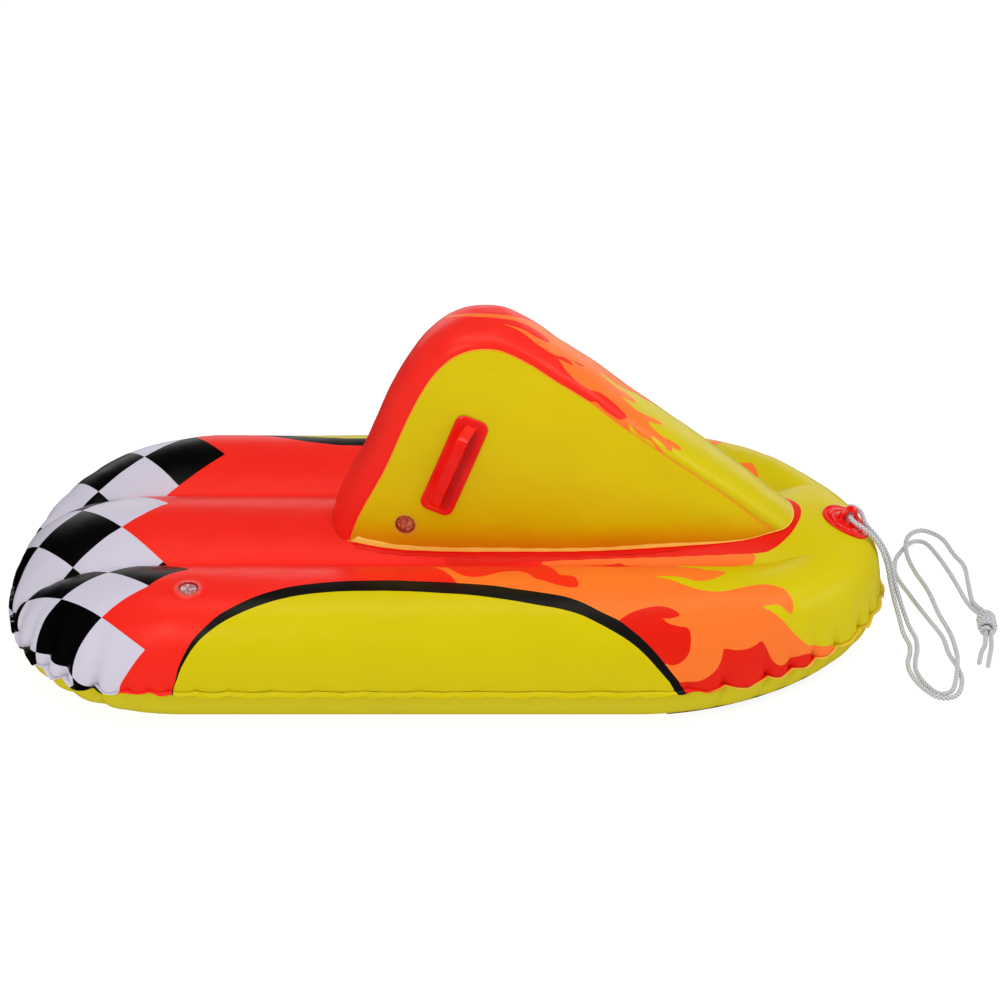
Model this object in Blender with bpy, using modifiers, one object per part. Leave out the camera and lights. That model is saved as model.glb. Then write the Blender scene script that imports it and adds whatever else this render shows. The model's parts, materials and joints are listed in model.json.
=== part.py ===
"""Inflatable snow sled: a three-lobed air hull, a wedge-shaped console with two grab handles,
two push-in air valves, a tow fitting on the nose and a doubled tow rope."""

import math

import bmesh
import bpy
import numpy as np
from mathutils import Matrix, Vector

# Hull. +X points to the nose, +Z up, and the origin is under the middle of the hull.
hull_length = 1.100
hull_width = 0.504
seam_height = 0.0513
crest_rise = 0.1101
crease_depth = 0.029
rear_end_length = 0.206
rear_end_exponent = 2.2
nose_end_length = 0.301
nose_end_exponent = 1.78
rear_taper_length = 0.178
rear_taper_exponent = 1.95
nose_taper_length = 0.156
nose_taper_exponent = 3.1
side_exponent = 2.3
crease_fade_from_nose = 0.180
crease_fade_length = 0.120
bottom_side_inset = 0.054
bottom_nose_inset = 0.052
bottom_rear_inset = 0.088
seam_flange_width = 0.004
sheet_thickness = 0.0006
gap = 0.0003

# Inner webs that hold the creases down.
web_thickness = 0.0005
web_rear_stop = 0.100
web_nose_stop = 0.160
web_clearance = 0.0012

# Console.
console_from_nose = 0.1385
console_length = 0.5320
console_base_height = 0.1500
console_height = 0.2698
console_seam_half_width = 0.0500
console_base_half_width = 0.0672
console_panel_bulge = 0.013
console_crown = 0.022
console_flange_width = 0.0055
console_foot_gap = 0.0008
# Shares of the console's run: over the first and last of them its outline blends into the deck.
console_blend_share = 0.03
console_flat_share = 0.10
console_foot_share = 0.12
console_slope_share = 0.004

# Along, up, half width and crown of the console's edge, as shares of the four lengths above.
console_edge_shares = [
    (0.000, 0.000, 1.090, 1.00),
    (0.016, 0.104, 1.085, 1.05),
    (0.038, 0.198, 1.070, 1.12),
    (0.086, 0.384, 1.050, 1.20),
    (0.146, 0.668, 1.020, 1.18),
    (0.193, 0.844, 1.000, 1.10),
    (0.238, 0.945, 1.000, 1.05),
    (0.277, 0.987, 1.000, 1.02),
    (0.318, 1.000, 1.000, 1.00),
    (0.360, 0.986, 1.000, 0.98),
    (0.425, 0.915, 1.000, 0.94),
    (0.468, 0.852, 1.000, 0.90),
    (0.535, 0.761, 1.000, 0.88),
    (0.567, 0.715, 1.000, 0.87),
    (0.642, 0.589, 1.000, 0.86),
    (0.731, 0.457, 1.000, 0.86),
    (0.872, 0.240, 0.930, 0.92),
    (0.950, 0.105, 0.870, 1.02),
    (1.000, 0.000, 0.834, 1.12),
]
# Along and half width of the line where the side panels meet the deck, as shares.
console_base_shares = [
    (0.000, 0.811),
    (0.060, 0.900),
    (0.118, 0.961),
    (0.235, 0.996),
    (0.352, 1.000),
    (0.577, 0.984),
    (0.799, 0.882),
    (0.915, 0.787),
    (1.000, 0.620),
]

# Handles.
handle_length = 0.132
handle_width = 0.041
handle_corner_radius = 0.011
handle_plate_thickness = 0.0016
handle_rim_height = 0.0028
handle_rim_width = 0.0030
handle_from_console_rear = 0.1310
handle_centre_height = 0.2690
handle_lean_deg = 22.0
handle_bends = 6
handle_seat_gap = 0.0008
strap_width = 0.0145
strap_thickness = 0.0028
strap_stand_off = 0.028
strap_foot_reach = 0.0570
strap_bend_reach = 0.0450

# Air valves.
valve_flange_radius = 0.0180
valve_flange_thickness = 0.0008
valve_well_radius = 0.0122
valve_wall = 0.0009
valve_well_depth = 0.0160
valve_hole_clearance = 0.0006
valve_stem_radius = 0.0080
valve_stem_wall = 0.0013
valve_stem_length = 0.0260
valve_stem_recess = 0.0042
valve_running_gap = 0.0004
valve_lip_radius = 0.0098
valve_lip_thickness = 0.0014
valve_plug_radius = 0.0092
valve_plug_thickness = 0.0020
valve_plug_reach = 0.0080
valve_plug_fit_gap = 0.0003
valve_tab_length = 0.0060
valve_tab_width = 0.0036
valve_tab_height = 0.0016
valve_flap_thickness = 0.0008
valve_cup_share = 0.1
valve_tab_corner_share = 0.4
valve_hole_share = 0.66
hull_valve_from_rear = 0.2389
hull_valve_from_side = 0.0718
console_valve_from_rear = 0.0700
console_valve_height = 0.1850

# Tow fitting.
tow_from_nose = 0.0460
tow_disc_radius = 0.0325
tow_disc_thickness = 0.0014
tow_rim_width = 0.0022
tow_rim_height = 0.0010
tow_arch_half_span = 0.0115
tow_arch_height = 0.0205
tow_arch_wall = 0.0042
tow_arch_width = 0.0105
tow_dish_share = 0.4
tow_rim_slope_share = 1.4

# Rub strip under the nose.
strip_thickness = 0.0008
strip_turn_share = 0.56
strip_upper_share = 0.555
strip_lower_share = 0.83

# Rope.
rope_radius = 0.0032
rope_point_spacing = 0.0180
knot_radius = 0.0115
knot_length = 0.0290
knot_groove_share = 0.05

# Route points are hand-chosen: along from the tow fitting, across, and up from the floor.
rope_a_route = [
    (0.0036, 0.0160, 0.1564),
    (0.0036, 0.0100, 0.1564),
    (0.0036, 0.0000, 0.1564),
    (0.0044, -0.0080, 0.1558),
    (0.0100, -0.0135, 0.1525),
    (0.0200, -0.0155, 0.1462),
    (0.0310, -0.0158, 0.1358),
    (0.0430, -0.0150, 0.1180),
    (0.0520, -0.0165, 0.0950),
    (0.0575, -0.0205, 0.0700),
    (0.0630, -0.0270, 0.0480),
    (0.0695, -0.0370, 0.0270),
    (0.0750, -0.0490, 0.0100),
    (0.0810, -0.0625, 0.0036),
    (0.0795, -0.0850, 0.0034),
    (0.0750, -0.1040, 0.0034),
    (0.0760, -0.1290, 0.0034),
    (0.0880, -0.1620, 0.0034),
    (0.1070, -0.1835, 0.0034),
    (0.1270, -0.1790, 0.0034),
    (0.1380, -0.1480, 0.0034),
    (0.1365, -0.1180, 0.0034),
    (0.1290, -0.0860, 0.0034),
    (0.1250, -0.0460, 0.0034),
    (0.1110, -0.0020, 0.0034),
    (0.0955, 0.0480, 0.0034),
    (0.0810, 0.1030, 0.0034),
    (0.0840, 0.1380, 0.0034),
    (0.0960, 0.1640, 0.0034),
    (0.1125, 0.1850, 0.0034),
    (0.1270, 0.1830, 0.0034),
    (0.1400, 0.1520, 0.0034),
    (0.1535, 0.1000, 0.0034),
    (0.1650, 0.0400, 0.0034),
    (0.1715, 0.0160, 0.0060),
    (0.1772, 0.0030, 0.0098),
    (0.1778, -0.0037, 0.0105),
]
rope_b_route = [
    (0.0036, 0.0163, 0.1564),
    (0.0044, 0.0225, 0.1558),
    (0.0110, 0.0275, 0.1522),
    (0.0188, 0.0230, 0.1482),
    (0.0216, 0.0120, 0.1464),
    (0.0230, 0.0020, 0.1452),
    (0.0285, -0.0050, 0.1400),
    (0.0380, -0.0078, 0.1290),
    (0.0480, -0.0082, 0.1130),
    (0.0565, -0.0095, 0.0935),
    (0.0625, -0.0140, 0.0700),
    (0.0695, -0.0195, 0.0480),
    (0.0765, -0.0250, 0.0280),
    (0.0840, -0.0325, 0.0100),
    (0.0905, -0.0480, 0.0036),
    (0.0900, -0.0750, 0.0034),
    (0.0855, -0.0980, 0.0034),
    (0.0835, -0.1230, 0.0034),
    (0.0920, -0.1530, 0.0034),
    (0.1070, -0.1745, 0.0034),
    (0.1220, -0.1700, 0.0040),
    (0.1310, -0.1440, 0.0078),
    (0.1360, -0.1120, 0.0105),
    (0.1375, -0.0900, 0.0090),
    (0.1360, -0.0395, 0.0036),
    (0.1271, 0.0051, 0.0034),
    (0.1185, 0.0650, 0.0034),
    (0.1070, 0.1091, 0.0034),
    (0.1000, 0.1450, 0.0070),
    (0.1015, 0.1745, 0.0106),
    (0.1140, 0.2040, 0.0060),
    (0.1300, 0.2130, 0.0034),
    (0.1505, 0.1944, 0.0034),
    (0.1630, 0.1526, 0.0034),
    (0.1728, 0.1239, 0.0034),
    (0.1732, 0.0869, 0.0034),
    (0.1730, 0.0400, 0.0040),
    (0.1795, 0.0180, 0.0085),
    (0.1852, 0.0040, 0.0122),
    (0.1858, -0.0037, 0.0125),
]
tail_a_route = [
    (0.1780, -0.0333, 0.0105),
    (0.1779, -0.0385, 0.0095),
    (0.1778, -0.0460, 0.0070),
    (0.1765, -0.0600, 0.0038),
    (0.1715, -0.0780, 0.0034),
    (0.1670, -0.0950, 0.0034),
    (0.1640, -0.1080, 0.0034),
]
tail_b_route = [
    (0.1857, -0.0333, 0.0105),
    (0.1859, -0.0385, 0.0095),
    (0.1865, -0.0460, 0.0070),
    (0.1870, -0.0620, 0.0038),
    (0.1850, -0.0830, 0.0034),
    (0.1825, -0.1020, 0.0034),
    (0.1810, -0.1160, 0.0034),
]
knot_place = (0.1818, -0.0185, 0.0124)

# Distance to each side at which a surface's slope is read.
slope_reach = 0.002

# Mesh detail.
side_steps = 5
inner_lobe_steps = 4
centre_lobe_steps = 8
end_steps = 7
middle_steps = 9
middle_spread = 1.5
ring_steps = 60
bottom_steps = 4
panel_columns = 26
panel_rows = 8
band_steps = 8
flange_columns = 21
turned_steps = 20
strip_ring_steps = 90
strip_steps = 3
tow_steps = 24
tow_arch_steps = 12
knot_rows = 12
knot_columns = 16

half_length = hull_length / 2
half_width = hull_width / 2
hull_valve_x = hull_valve_from_rear - half_length
hull_valve_y = hull_valve_from_side - half_width
tow_centre_x = half_length - tow_from_nose
crease_fade_start = half_length - crease_fade_from_nose
console_rear_x = half_length - console_from_nose - console_length
handle_centre_x = console_rear_x + handle_from_console_rear
console_valve_x = console_rear_x + console_valve_from_rear
lobe_half_width = half_width / 3
lobe_radius = (lobe_half_width ** 2 + crease_depth ** 2) / (2 * crease_depth)
top_seam_height = seam_height + sheet_thickness + gap / 2
bottom_seam_height = seam_height - sheet_thickness - gap / 2

HULL_YELLOW = (0.66, 0.56, 0.02)
DECK_RED = (0.78, 0.035, 0.022)


def clear_scene():
    for item in list(bpy.data.objects):
        bpy.data.objects.remove(item, do_unlink=True)


def make_collection(name, hidden=False):
    """Add a collection under the scene; a hidden one holds cutting shapes."""
    collection = bpy.data.collections.new(name)
    bpy.context.scene.collection.children.link(collection)
    collection.hide_render = hidden
    return collection


def make_material(name, colour, roughness, metallic=0.0, alpha=1.0):
    material = bpy.data.materials.new(name)
    material.use_nodes = True
    shader = material.node_tree.nodes["Principled BSDF"]
    shader.inputs["Base Color"].default_value = (*colour, 1.0)
    shader.inputs["Roughness"].default_value = roughness
    shader.inputs["Metallic"].default_value = metallic
    shader.inputs["Alpha"].default_value = alpha
    return material


def add_object(name, vertices, faces, collection, material=None, smooth=True):
    """One named mesh object from a list of corners and faces."""
    mesh = bpy.data.meshes.new(name)
    mesh.from_pydata([tuple(float(c) for c in v) for v in vertices], [], [list(f) for f in faces])
    body = bmesh.new()
    body.from_mesh(mesh)
    bmesh.ops.remove_doubles(body, verts=body.verts, dist=sheet_thickness / 20)
    bmesh.ops.dissolve_degenerate(body, edges=body.edges, dist=sheet_thickness / 20)
    bmesh.ops.recalc_face_normals(body, faces=body.faces)
    body.to_mesh(mesh)
    body.free()
    mesh.polygons.foreach_set("use_smooth", [smooth] * len(mesh.polygons))
    item = bpy.data.objects.new(name, mesh)
    collection.objects.link(item)
    if material is not None:
        mesh.materials.append(material)
    return item


def realised(item):
    """Turn an object with modifiers, or a curve, into a plain mesh in place; returns the mesh."""
    graph = bpy.context.evaluated_depsgraph_get()
    mesh = bpy.data.meshes.new_from_object(item.evaluated_get(graph))
    body = bmesh.new()
    body.from_mesh(mesh)
    bmesh.ops.remove_doubles(body, verts=body.verts, dist=sheet_thickness / 20)
    bmesh.ops.recalc_face_normals(body, faces=body.faces)
    body.to_mesh(mesh)
    body.free()
    return mesh


def add_shell(item, thickness, outward_point):
    """Give a surface its thickness on the side away from outward_point's view of it."""
    mesh = item.data
    body = bmesh.new()
    body.from_mesh(mesh)
    body.faces.ensure_lookup_table()
    largest = max(body.faces, key=lambda face: face.calc_area())
    toward = Vector(outward_point) - largest.calc_center_median()
    if largest.normal.dot(toward) < 0:
        bmesh.ops.reverse_faces(body, faces=body.faces)
    body.to_mesh(mesh)
    body.free()
    solid = item.modifiers.new("thickness", "SOLIDIFY")
    solid.thickness = thickness
    solid.offset = -1.0
    solid.use_even_offset = False
    return solid


def cut(item, cutter):
    change = item.modifiers.new("cut", "BOOLEAN")
    change.operation = "DIFFERENCE"
    change.solver = "EXACT"
    change.object = cutter


def join(item, other):
    change = item.modifiers.new("join", "BOOLEAN")
    change.operation = "UNION"
    change.solver = "EXACT"
    change.object = other


def hide_cutter(item):
    item.hide_render = True
    item.display_type = "WIRE"


def quarter(distance, reach, exponent):
    """Height share of a rounded edge: 0 at the edge, 1 from `reach` inward."""
    t = np.clip(np.asarray(distance, float) / reach, 0.0, 1.0)
    return (1 - (1 - t) ** exponent) ** (1 / exponent)


def end_positions(y):
    """Where the rear and the nose outline stand at the crosswise place y."""
    share = np.clip(np.abs(np.asarray(y, float)) / half_width, 0.0, 1.0)
    rear = (1 - share ** rear_end_exponent) ** (1 / rear_end_exponent)
    nose = (1 - share ** nose_end_exponent) ** (1 / nose_end_exponent)
    return (
        -half_length + rear_end_length * (1 - rear),
        half_length - nose_end_length * (1 - nose),
    )


def crease_share(x):
    """How much of the crease depth is left at x: all of it, fading out under the nose."""
    t = np.clip((np.asarray(x, float) - crease_fade_start) / crease_fade_length, 0.0, 1.0)
    return 1 - t * t * (3 - 2 * t)


def deck_height(x, y):
    """Height of the hull's upper surface: three round lobes, tapered at both ends."""
    x = np.asarray(x, float)
    y = np.asarray(y, float)
    rear, nose = end_positions(y)
    across = np.abs(y)
    off = np.where(across < lobe_half_width, across, np.abs(across - 2 * lobe_half_width))
    off = np.minimum(off, lobe_half_width)
    drop = lobe_radius - np.sqrt(lobe_radius ** 2 - off ** 2)
    lobes = 1 - drop * crease_share(x) / crest_rise
    side = quarter(half_width - across, lobe_half_width, side_exponent)
    section = np.where(across < 2 * lobe_half_width, lobes, side)
    ends = quarter(x - rear, rear_taper_length, rear_taper_exponent)
    ends = ends * quarter(nose - x, nose_taper_length, nose_taper_exponent)
    return top_seam_height + crest_rise * section * ends


def crosswise_places():
    """Crosswise grid lines from the near seam to the far one, with the creases among them."""
    turn = np.linspace(0, math.pi / 2, side_steps + 1)
    side = half_width - lobe_half_width * (1 - np.cos(turn))
    inner = np.linspace(2 * lobe_half_width, lobe_half_width, inner_lobe_steps + 1)
    centre = np.linspace(lobe_half_width, 0, centre_lobe_steps // 2 + 1)
    half = np.concatenate([side, inner[1:], centre[1:]])
    return np.concatenate([-half, half[::-1][1:]])


def lengthwise_places(y):
    """Grid places along one crosswise line, closer together at the rounded ends."""
    rear, nose = end_positions(y)
    turn = np.linspace(0, math.pi / 2, end_steps + 1)
    first = rear + rear_taper_length * (1 - np.cos(turn))
    last = nose - nose_taper_length * (1 - np.cos(turn[::-1]))
    share = 1 - (1 - np.linspace(0, 1, middle_steps + 1)[1:-1]) ** middle_spread
    middle = first[-1] + (last[0] - first[-1]) * share
    return np.concatenate([first, middle, last])


def outline_points(count):
    """Plan outline of the seam, evenly spread, with its outward directions."""
    turn = np.linspace(0, math.pi / 2, 200)
    cosine = np.cos(turn)
    sine = np.sin(turn)
    nose_x = half_length - nose_end_length * (1 - cosine ** (2 / nose_end_exponent))
    nose_y = half_width * sine ** (2 / nose_end_exponent)
    rear_x = -half_length + rear_end_length * (1 - cosine[::-1] ** (2 / rear_end_exponent))
    rear_y = half_width * sine[::-1] ** (2 / rear_end_exponent)
    half = np.stack([np.concatenate([nose_x, rear_x]), np.concatenate([nose_y, rear_y])], 1)
    mirrored = half[::-1][1:-1] * np.array([1, -1])
    loop = np.concatenate([half, mirrored, half[:1]])
    length = np.concatenate([[0], np.cumsum(np.linalg.norm(np.diff(loop, axis=0), axis=1))])
    at = np.linspace(0, length[-1], count, endpoint=False)
    points = np.stack([np.interp(at, length, loop[:, k]) for k in (0, 1)], 1)
    return points, outward_directions(points)


def outward_directions(points):
    """Outward direction at each point of a loop that runs anticlockwise from above."""
    along = np.roll(points, -1, 0) - np.roll(points, 1, 0)
    out = np.stack([along[:, 1], -along[:, 0]], 1)
    return out / np.linalg.norm(out, axis=1)[:, None]


def grid_faces(rows, columns):
    return [
        (r * columns + c, r * columns + c + 1, (r + 1) * columns + c + 1, (r + 1) * columns + c)
        for r in range(rows - 1)
        for c in range(columns - 1)
    ]


def ring_faces(rings, count):
    return [
        (k * count + i, k * count + (i + 1) % count, (k + 1) * count + (i + 1) % count, (k + 1) * count + i)
        for k in range(rings - 1)
        for i in range(count)
    ]


def make_hull_top(collection, material):
    """The upper sheet with its three lobes and the flat flange round its edge."""
    places = crosswise_places()
    rows = []
    for y in places:
        x = lengthwise_places(y)
        rows.append(np.stack([x, np.full_like(x, y), deck_height(x, y)], 1))
    grid = np.array(rows)
    count_y, count_x = grid.shape[:2]
    vertices = list(grid.reshape(-1, 3))
    faces = grid_faces(count_y, count_x)
    loop = [c for c in range(count_x)]
    loop += [r * count_x + count_x - 1 for r in range(1, count_y)]
    loop += [(count_y - 1) * count_x + c for c in range(count_x - 2, -1, -1)]
    loop += [r * count_x for r in range(count_y - 2, 0, -1)]
    edge = np.array([vertices[i] for i in loop])
    out = outward_directions(edge[:, :2])
    start = len(vertices)
    for point, direction in zip(edge, out):
        vertices.append(
            (
                point[0] + direction[0] * seam_flange_width,
                point[1] + direction[1] * seam_flange_width,
                top_seam_height,
            )
        )
    for k in range(len(loop)):
        after = (k + 1) % len(loop)
        faces.append((loop[k], start + k, start + after, loop[after]))
    item = add_object("hull_top_sheet", vertices, faces, collection, material)
    add_shell(item, sheet_thickness, (0, 0, hull_length))
    return item


def bottom_ring(points, turn_share, offset=0.0):
    """One ring of the lower sheet: turn_share 0 is the seam and 1 the flat base."""
    turn = turn_share * math.pi / 2
    inset = 1 - math.cos(turn)
    end_inset = np.where(points[:, 0] > 0, bottom_nose_inset, bottom_rear_inset)
    x = points[:, 0] * (1 - end_inset * inset / half_length)
    y = points[:, 1] * (1 - bottom_side_inset * inset / half_width)
    z = np.full(len(points), bottom_seam_height * (1 - math.sin(turn)))
    ring = np.stack([x, y, z], 1)
    if offset:
        out = outward_directions(ring[:, :2])
        normal = np.concatenate([out * math.cos(turn), np.full((len(ring), 1), -math.sin(turn))], 1)
        ring = ring + normal * offset
    return ring


def make_hull_bottom(collection, material):
    """The lower sheet: a flange, a rounded edge and a flat base."""
    points, out = outline_points(ring_steps)
    flange = np.concatenate(
        [points + out * seam_flange_width, np.full((ring_steps, 1), bottom_seam_height)], 1
    )
    rings = [flange]
    for step in range(bottom_steps + 1):
        rings.append(bottom_ring(points, step / bottom_steps))
    vertices = np.concatenate(rings)
    faces = ring_faces(len(rings), ring_steps)
    last = (len(rings) - 1) * ring_steps
    faces.append(tuple(range(last, last + ring_steps)))
    item = add_object("hull_bottom_sheet", vertices, faces, collection, material)
    add_shell(item, sheet_thickness, (0, 0, -hull_length))
    return item


def make_web(name, side, collection, material):
    """Upright sheet inside the hull, from the base to the underside of a crease."""
    y = side * lobe_half_width
    x = lengthwise_places(y)
    x = x[(x > -half_length + web_rear_stop) & (x < half_length - web_nose_stop)]
    top = deck_height(x, np.full_like(x, y)) - sheet_thickness - web_clearance
    foot = np.full_like(x, sheet_thickness + gap)
    outline = np.concatenate([np.stack([x, foot], 1), np.stack([x, top], 1)[::-1]])
    vertices = [(p[0], y, p[1]) for p in outline]
    item = add_object(name, vertices, [range(len(vertices))], collection, material, smooth=False)
    solid = item.modifiers.new("thickness", "SOLIDIFY")
    solid.thickness = web_thickness
    solid.offset = 0.0
    return item


def spline(stations, values, at):
    """Smooth curve through values at stations, read at the places `at`."""
    stations = np.asarray(stations, float)
    values = np.asarray(values, float)
    at = np.asarray(at, float)
    slope = np.empty_like(values)
    slope[1:-1] = (values[2:] - values[:-2]) / (stations[2:] - stations[:-2])
    slope[0] = (values[1] - values[0]) / (stations[1] - stations[0])
    slope[-1] = (values[-1] - values[-2]) / (stations[-1] - stations[-2])
    k = np.clip(np.searchsorted(stations, at, side="right") - 1, 0, len(stations) - 2)
    step = stations[k + 1] - stations[k]
    t = (at - stations[k]) / step
    return (
        (2 * t ** 3 - 3 * t ** 2 + 1) * values[k]
        + (t ** 3 - 2 * t ** 2 + t) * step * slope[k]
        + (-2 * t ** 3 + 3 * t ** 2) * values[k + 1]
        + (t ** 3 - t ** 2) * step * slope[k + 1]
    )


def console_edge(at):
    """x, height, half width and crown of the console's edge at shares of its run."""
    table = np.array(console_edge_shares)
    x = console_rear_x + table[:, 0] * console_length
    z = console_base_height + table[:, 1] * console_height
    width = table[:, 2] * console_seam_half_width
    crown = table[:, 3] * console_crown
    z[0] = deck_height(x[0], width[0]) + console_foot_gap
    z[-1] = deck_height(x[-1], width[-1]) + console_foot_gap
    run = np.concatenate([[0], np.cumsum(np.hypot(np.diff(x), np.diff(z)))])
    run = run / run[-1]
    return tuple(spline(run, column, at) for column in (x, z, width, crown))


def console_edge_height(x):
    """Height and half width of the console's edge above the place x."""
    places, heights, widths, _ = console_edge(np.linspace(0, 1, 400))
    return np.interp(x, places, heights), np.interp(x, places, widths)


def console_base_width(x):
    """Half width of the line where the side panels meet the deck."""
    table = np.array(console_base_shares)
    share = (np.asarray(x, float) - console_rear_x) / console_length
    width = spline(table[:, 0], table[:, 1], np.clip(share, 0, 1)) * console_base_half_width
    blend = np.clip(np.minimum(share, 1 - share) / console_blend_share, 0, 1)
    _, edge = console_edge_height(x)
    return width * blend + edge * (1 - blend)


def panel_half_width(x, z):
    """How far the side panel stands from the middle plane at x and height z."""
    x = np.asarray(x, float)
    low_width = console_base_width(x)
    low = deck_height(x, low_width) + console_foot_gap
    high, high_width = console_edge_height(x)
    t = np.clip((np.asarray(z, float) - low) / np.maximum(high - low, sheet_thickness), 0, 1)
    share = np.clip((x - console_rear_x) / console_length, 0, 1)
    lift = np.clip((high - low) / console_height, 0, 1) ** 0.7
    swell = console_panel_bulge * np.sin(math.pi * t ** 0.7) * lift * np.sin(math.pi * share) ** 0.3
    return low_width + (high_width - low_width) * t + swell


def make_console_panel(name, side, collection, material):
    """One bulged side wall of the console, from the deck up to the edge of the band."""
    x, high, _, _ = console_edge(np.linspace(0, 1, panel_columns))
    low_width = console_base_width(x)
    low = deck_height(x, low_width) + console_foot_gap
    share = np.linspace(0, 1, panel_rows + 1)
    z = low + (high - low) * share[:, None]
    y = panel_half_width(np.broadcast_to(x, z.shape), z)
    y = y + sheet_thickness + gap
    vertices = np.stack([np.broadcast_to(x, z.shape), side * y, z], -1).reshape(-1, 3)
    faces = grid_faces(panel_rows + 1, panel_columns)
    item = add_object(name, vertices, faces, collection, material)
    add_shell(item, sheet_thickness, (handle_centre_x, side * hull_length, console_height))
    return item


def band_surface(at, across):
    """Points of the crowned band that runs over the console from rear to front."""
    x, z, width, crown = console_edge(at)
    ahead = np.clip(at + console_slope_share, 0, 1)
    behind = np.clip(at - console_slope_share, 0, 1)
    x_ahead, z_ahead, _, _ = console_edge(ahead)
    x_behind, z_behind, _, _ = console_edge(behind)
    along = np.stack([x_ahead - x_behind, z_ahead - z_behind], 1)
    along = along / np.linalg.norm(along, axis=1)[:, None]
    out = np.stack([-along[:, 1], along[:, 0]], 1)
    flat = np.clip(np.minimum(at, 1 - at) / console_flat_share, 0, 1)[:, None]
    level = np.stack([np.where(at < 0.5, -1.0, 1.0), np.zeros_like(at)], 1)
    out = out * flat + level * (1 - flat)
    out = out / np.linalg.norm(out, axis=1)[:, None]
    rise = crown[:, None] * np.cos(across[None, :] * math.pi / 2) ** 0.9
    y = (width[:, None] - gap) * np.sin(across[None, :] * math.pi / 2)
    px = x[:, None] + out[:, 0:1] * rise
    pz = z[:, None] + out[:, 1:2] * rise
    shift = deck_height(px, y) + console_foot_gap - pz
    fade = np.clip(1 - np.minimum(at, 1 - at)[:, None] / console_foot_share, 0, 1) ** 2
    end = np.where(at[:, None] < 0.5, 0, -1)
    first = np.broadcast_to(shift[0][None, :], shift.shape)
    last = np.broadcast_to(shift[-1][None, :], shift.shape)
    pz = pz + fade * np.where(end == 0, first, last)
    return np.stack([px, y, pz], -1)


def make_console_band(collection, material):
    at = np.linspace(0, 1, panel_columns + 2)
    across = np.linspace(-1, 1, band_steps + 1)
    points = band_surface(at, across)
    item = add_object(
        "console_band",
        points.reshape(-1, 3),
        grid_faces(len(at), len(across)),
        collection,
        material,
    )
    add_shell(item, sheet_thickness, (handle_centre_x, 0, hull_length))
    return item


def console_footprint():
    """Closed line round the foot of the console, anticlockwise from above."""
    at = np.linspace(0, 1, flange_columns)
    x = console_rear_x + console_length * at
    side = console_base_width(x) + sheet_thickness + gap
    across = np.linspace(-1, 1, 9)
    ends = band_surface(np.array([0.0, 1.0]), across)
    front = ends[1][1:-1, :2]
    rear = ends[0][::-1][1:-1, :2]
    near = np.stack([x, -side], 1)
    far = np.stack([x[::-1], side[::-1]], 1)
    return np.concatenate([near, front, far, rear])


def make_console_flange(collection, material):
    """Thin welded strip that lies on the deck round the foot of the console."""
    loop = console_footprint()
    out = outward_directions(loop)
    rings = []
    for reach in (2 * gap, console_flange_width / 2, console_flange_width):
        ring = loop + out * reach
        z = deck_height(ring[:, 0], ring[:, 1]) + console_foot_gap + sheet_thickness
        rings.append(np.concatenate([ring, z[:, None]], 1))
    item = add_object(
        "console_base_flange", np.concatenate(rings), ring_faces(3, len(loop)), collection, material
    )
    add_shell(item, sheet_thickness, (handle_centre_x, 0, hull_length))
    return item


def rounded_rectangle(length, width, radius, corner_steps=4):
    points = []
    for cx, cy, start in ((1, 1, 0), (-1, 1, 90), (-1, -1, 180), (1, -1, 270)):
        for k in range(corner_steps + 1):
            angle = math.radians(start + 90 * k / corner_steps)
            points.append(
                (
                    cx * (length / 2 - radius) + radius * math.cos(angle),
                    cy * (width / 2 - radius) + radius * math.sin(angle),
                )
            )
    return points


def arch_outline(foot, bend, height, thickness, sink):
    """Side view of the strap: two leaning legs and a straight grip, as a closed outline."""
    corner = thickness
    outer = [
        (-foot, -sink),
        (-bend - corner * 0.6, height - corner * 1.6),
        (-bend + corner * 0.6, height),
        (bend - corner * 0.6, height),
        (bend + corner * 0.6, height - corner * 1.6),
        (foot, -sink),
    ]
    inner = [
        (foot - thickness, -sink),
        (bend - corner * 0.3, height - corner * 1.9),
        (bend - corner * 1.0, height - thickness),
        (-bend + corner * 1.0, height - thickness),
        (-bend + corner * 0.3, height - corner * 1.9),
        (-foot + thickness, -sink),
    ]
    return outer + inner


def extruded(name, outline, half_depth, collection, material=None):
    """Solid from a closed outline of (along, up) pairs, straight across the second axis."""
    curve = bpy.data.curves.new(name, "CURVE")
    curve.dimensions = "2D"
    curve.fill_mode = "BOTH"
    curve.extrude = half_depth
    line = curve.splines.new("POLY")
    line.points.add(len(outline) - 1)
    for slot, point in zip(line.points, outline):
        slot.co = (*point, 0.0, 1.0)
    line.use_cyclic_u = True
    drawn = bpy.data.objects.new(name + "_outline", curve)
    collection.objects.link(drawn)
    mesh = realised(drawn)
    bpy.data.objects.remove(drawn)
    mesh.transform(Matrix.Rotation(math.pi / 2, 4, "X"))
    item = bpy.data.objects.new(name, mesh)
    collection.objects.link(item)
    if material is not None:
        mesh.materials.append(material)
    return item


def bend_onto(item, places, placing):
    """Cut a flat form across its length at `places`, then carry its points with `placing`."""
    body = bmesh.new()
    body.from_mesh(item.data)
    for place in places:
        bmesh.ops.bisect_plane(
            body,
            geom=body.verts[:] + body.edges[:] + body.faces[:],
            plane_co=(place, 0, 0),
            plane_no=(1, 0, 0),
            dist=sheet_thickness / 100,
        )
    placed = placing([tuple(v.co) for v in body.verts])
    for vertex, point in zip(body.verts, placed):
        vertex.co = point
    bmesh.ops.recalc_face_normals(body, faces=body.faces)
    body.to_mesh(item.data)
    body.free()


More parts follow.
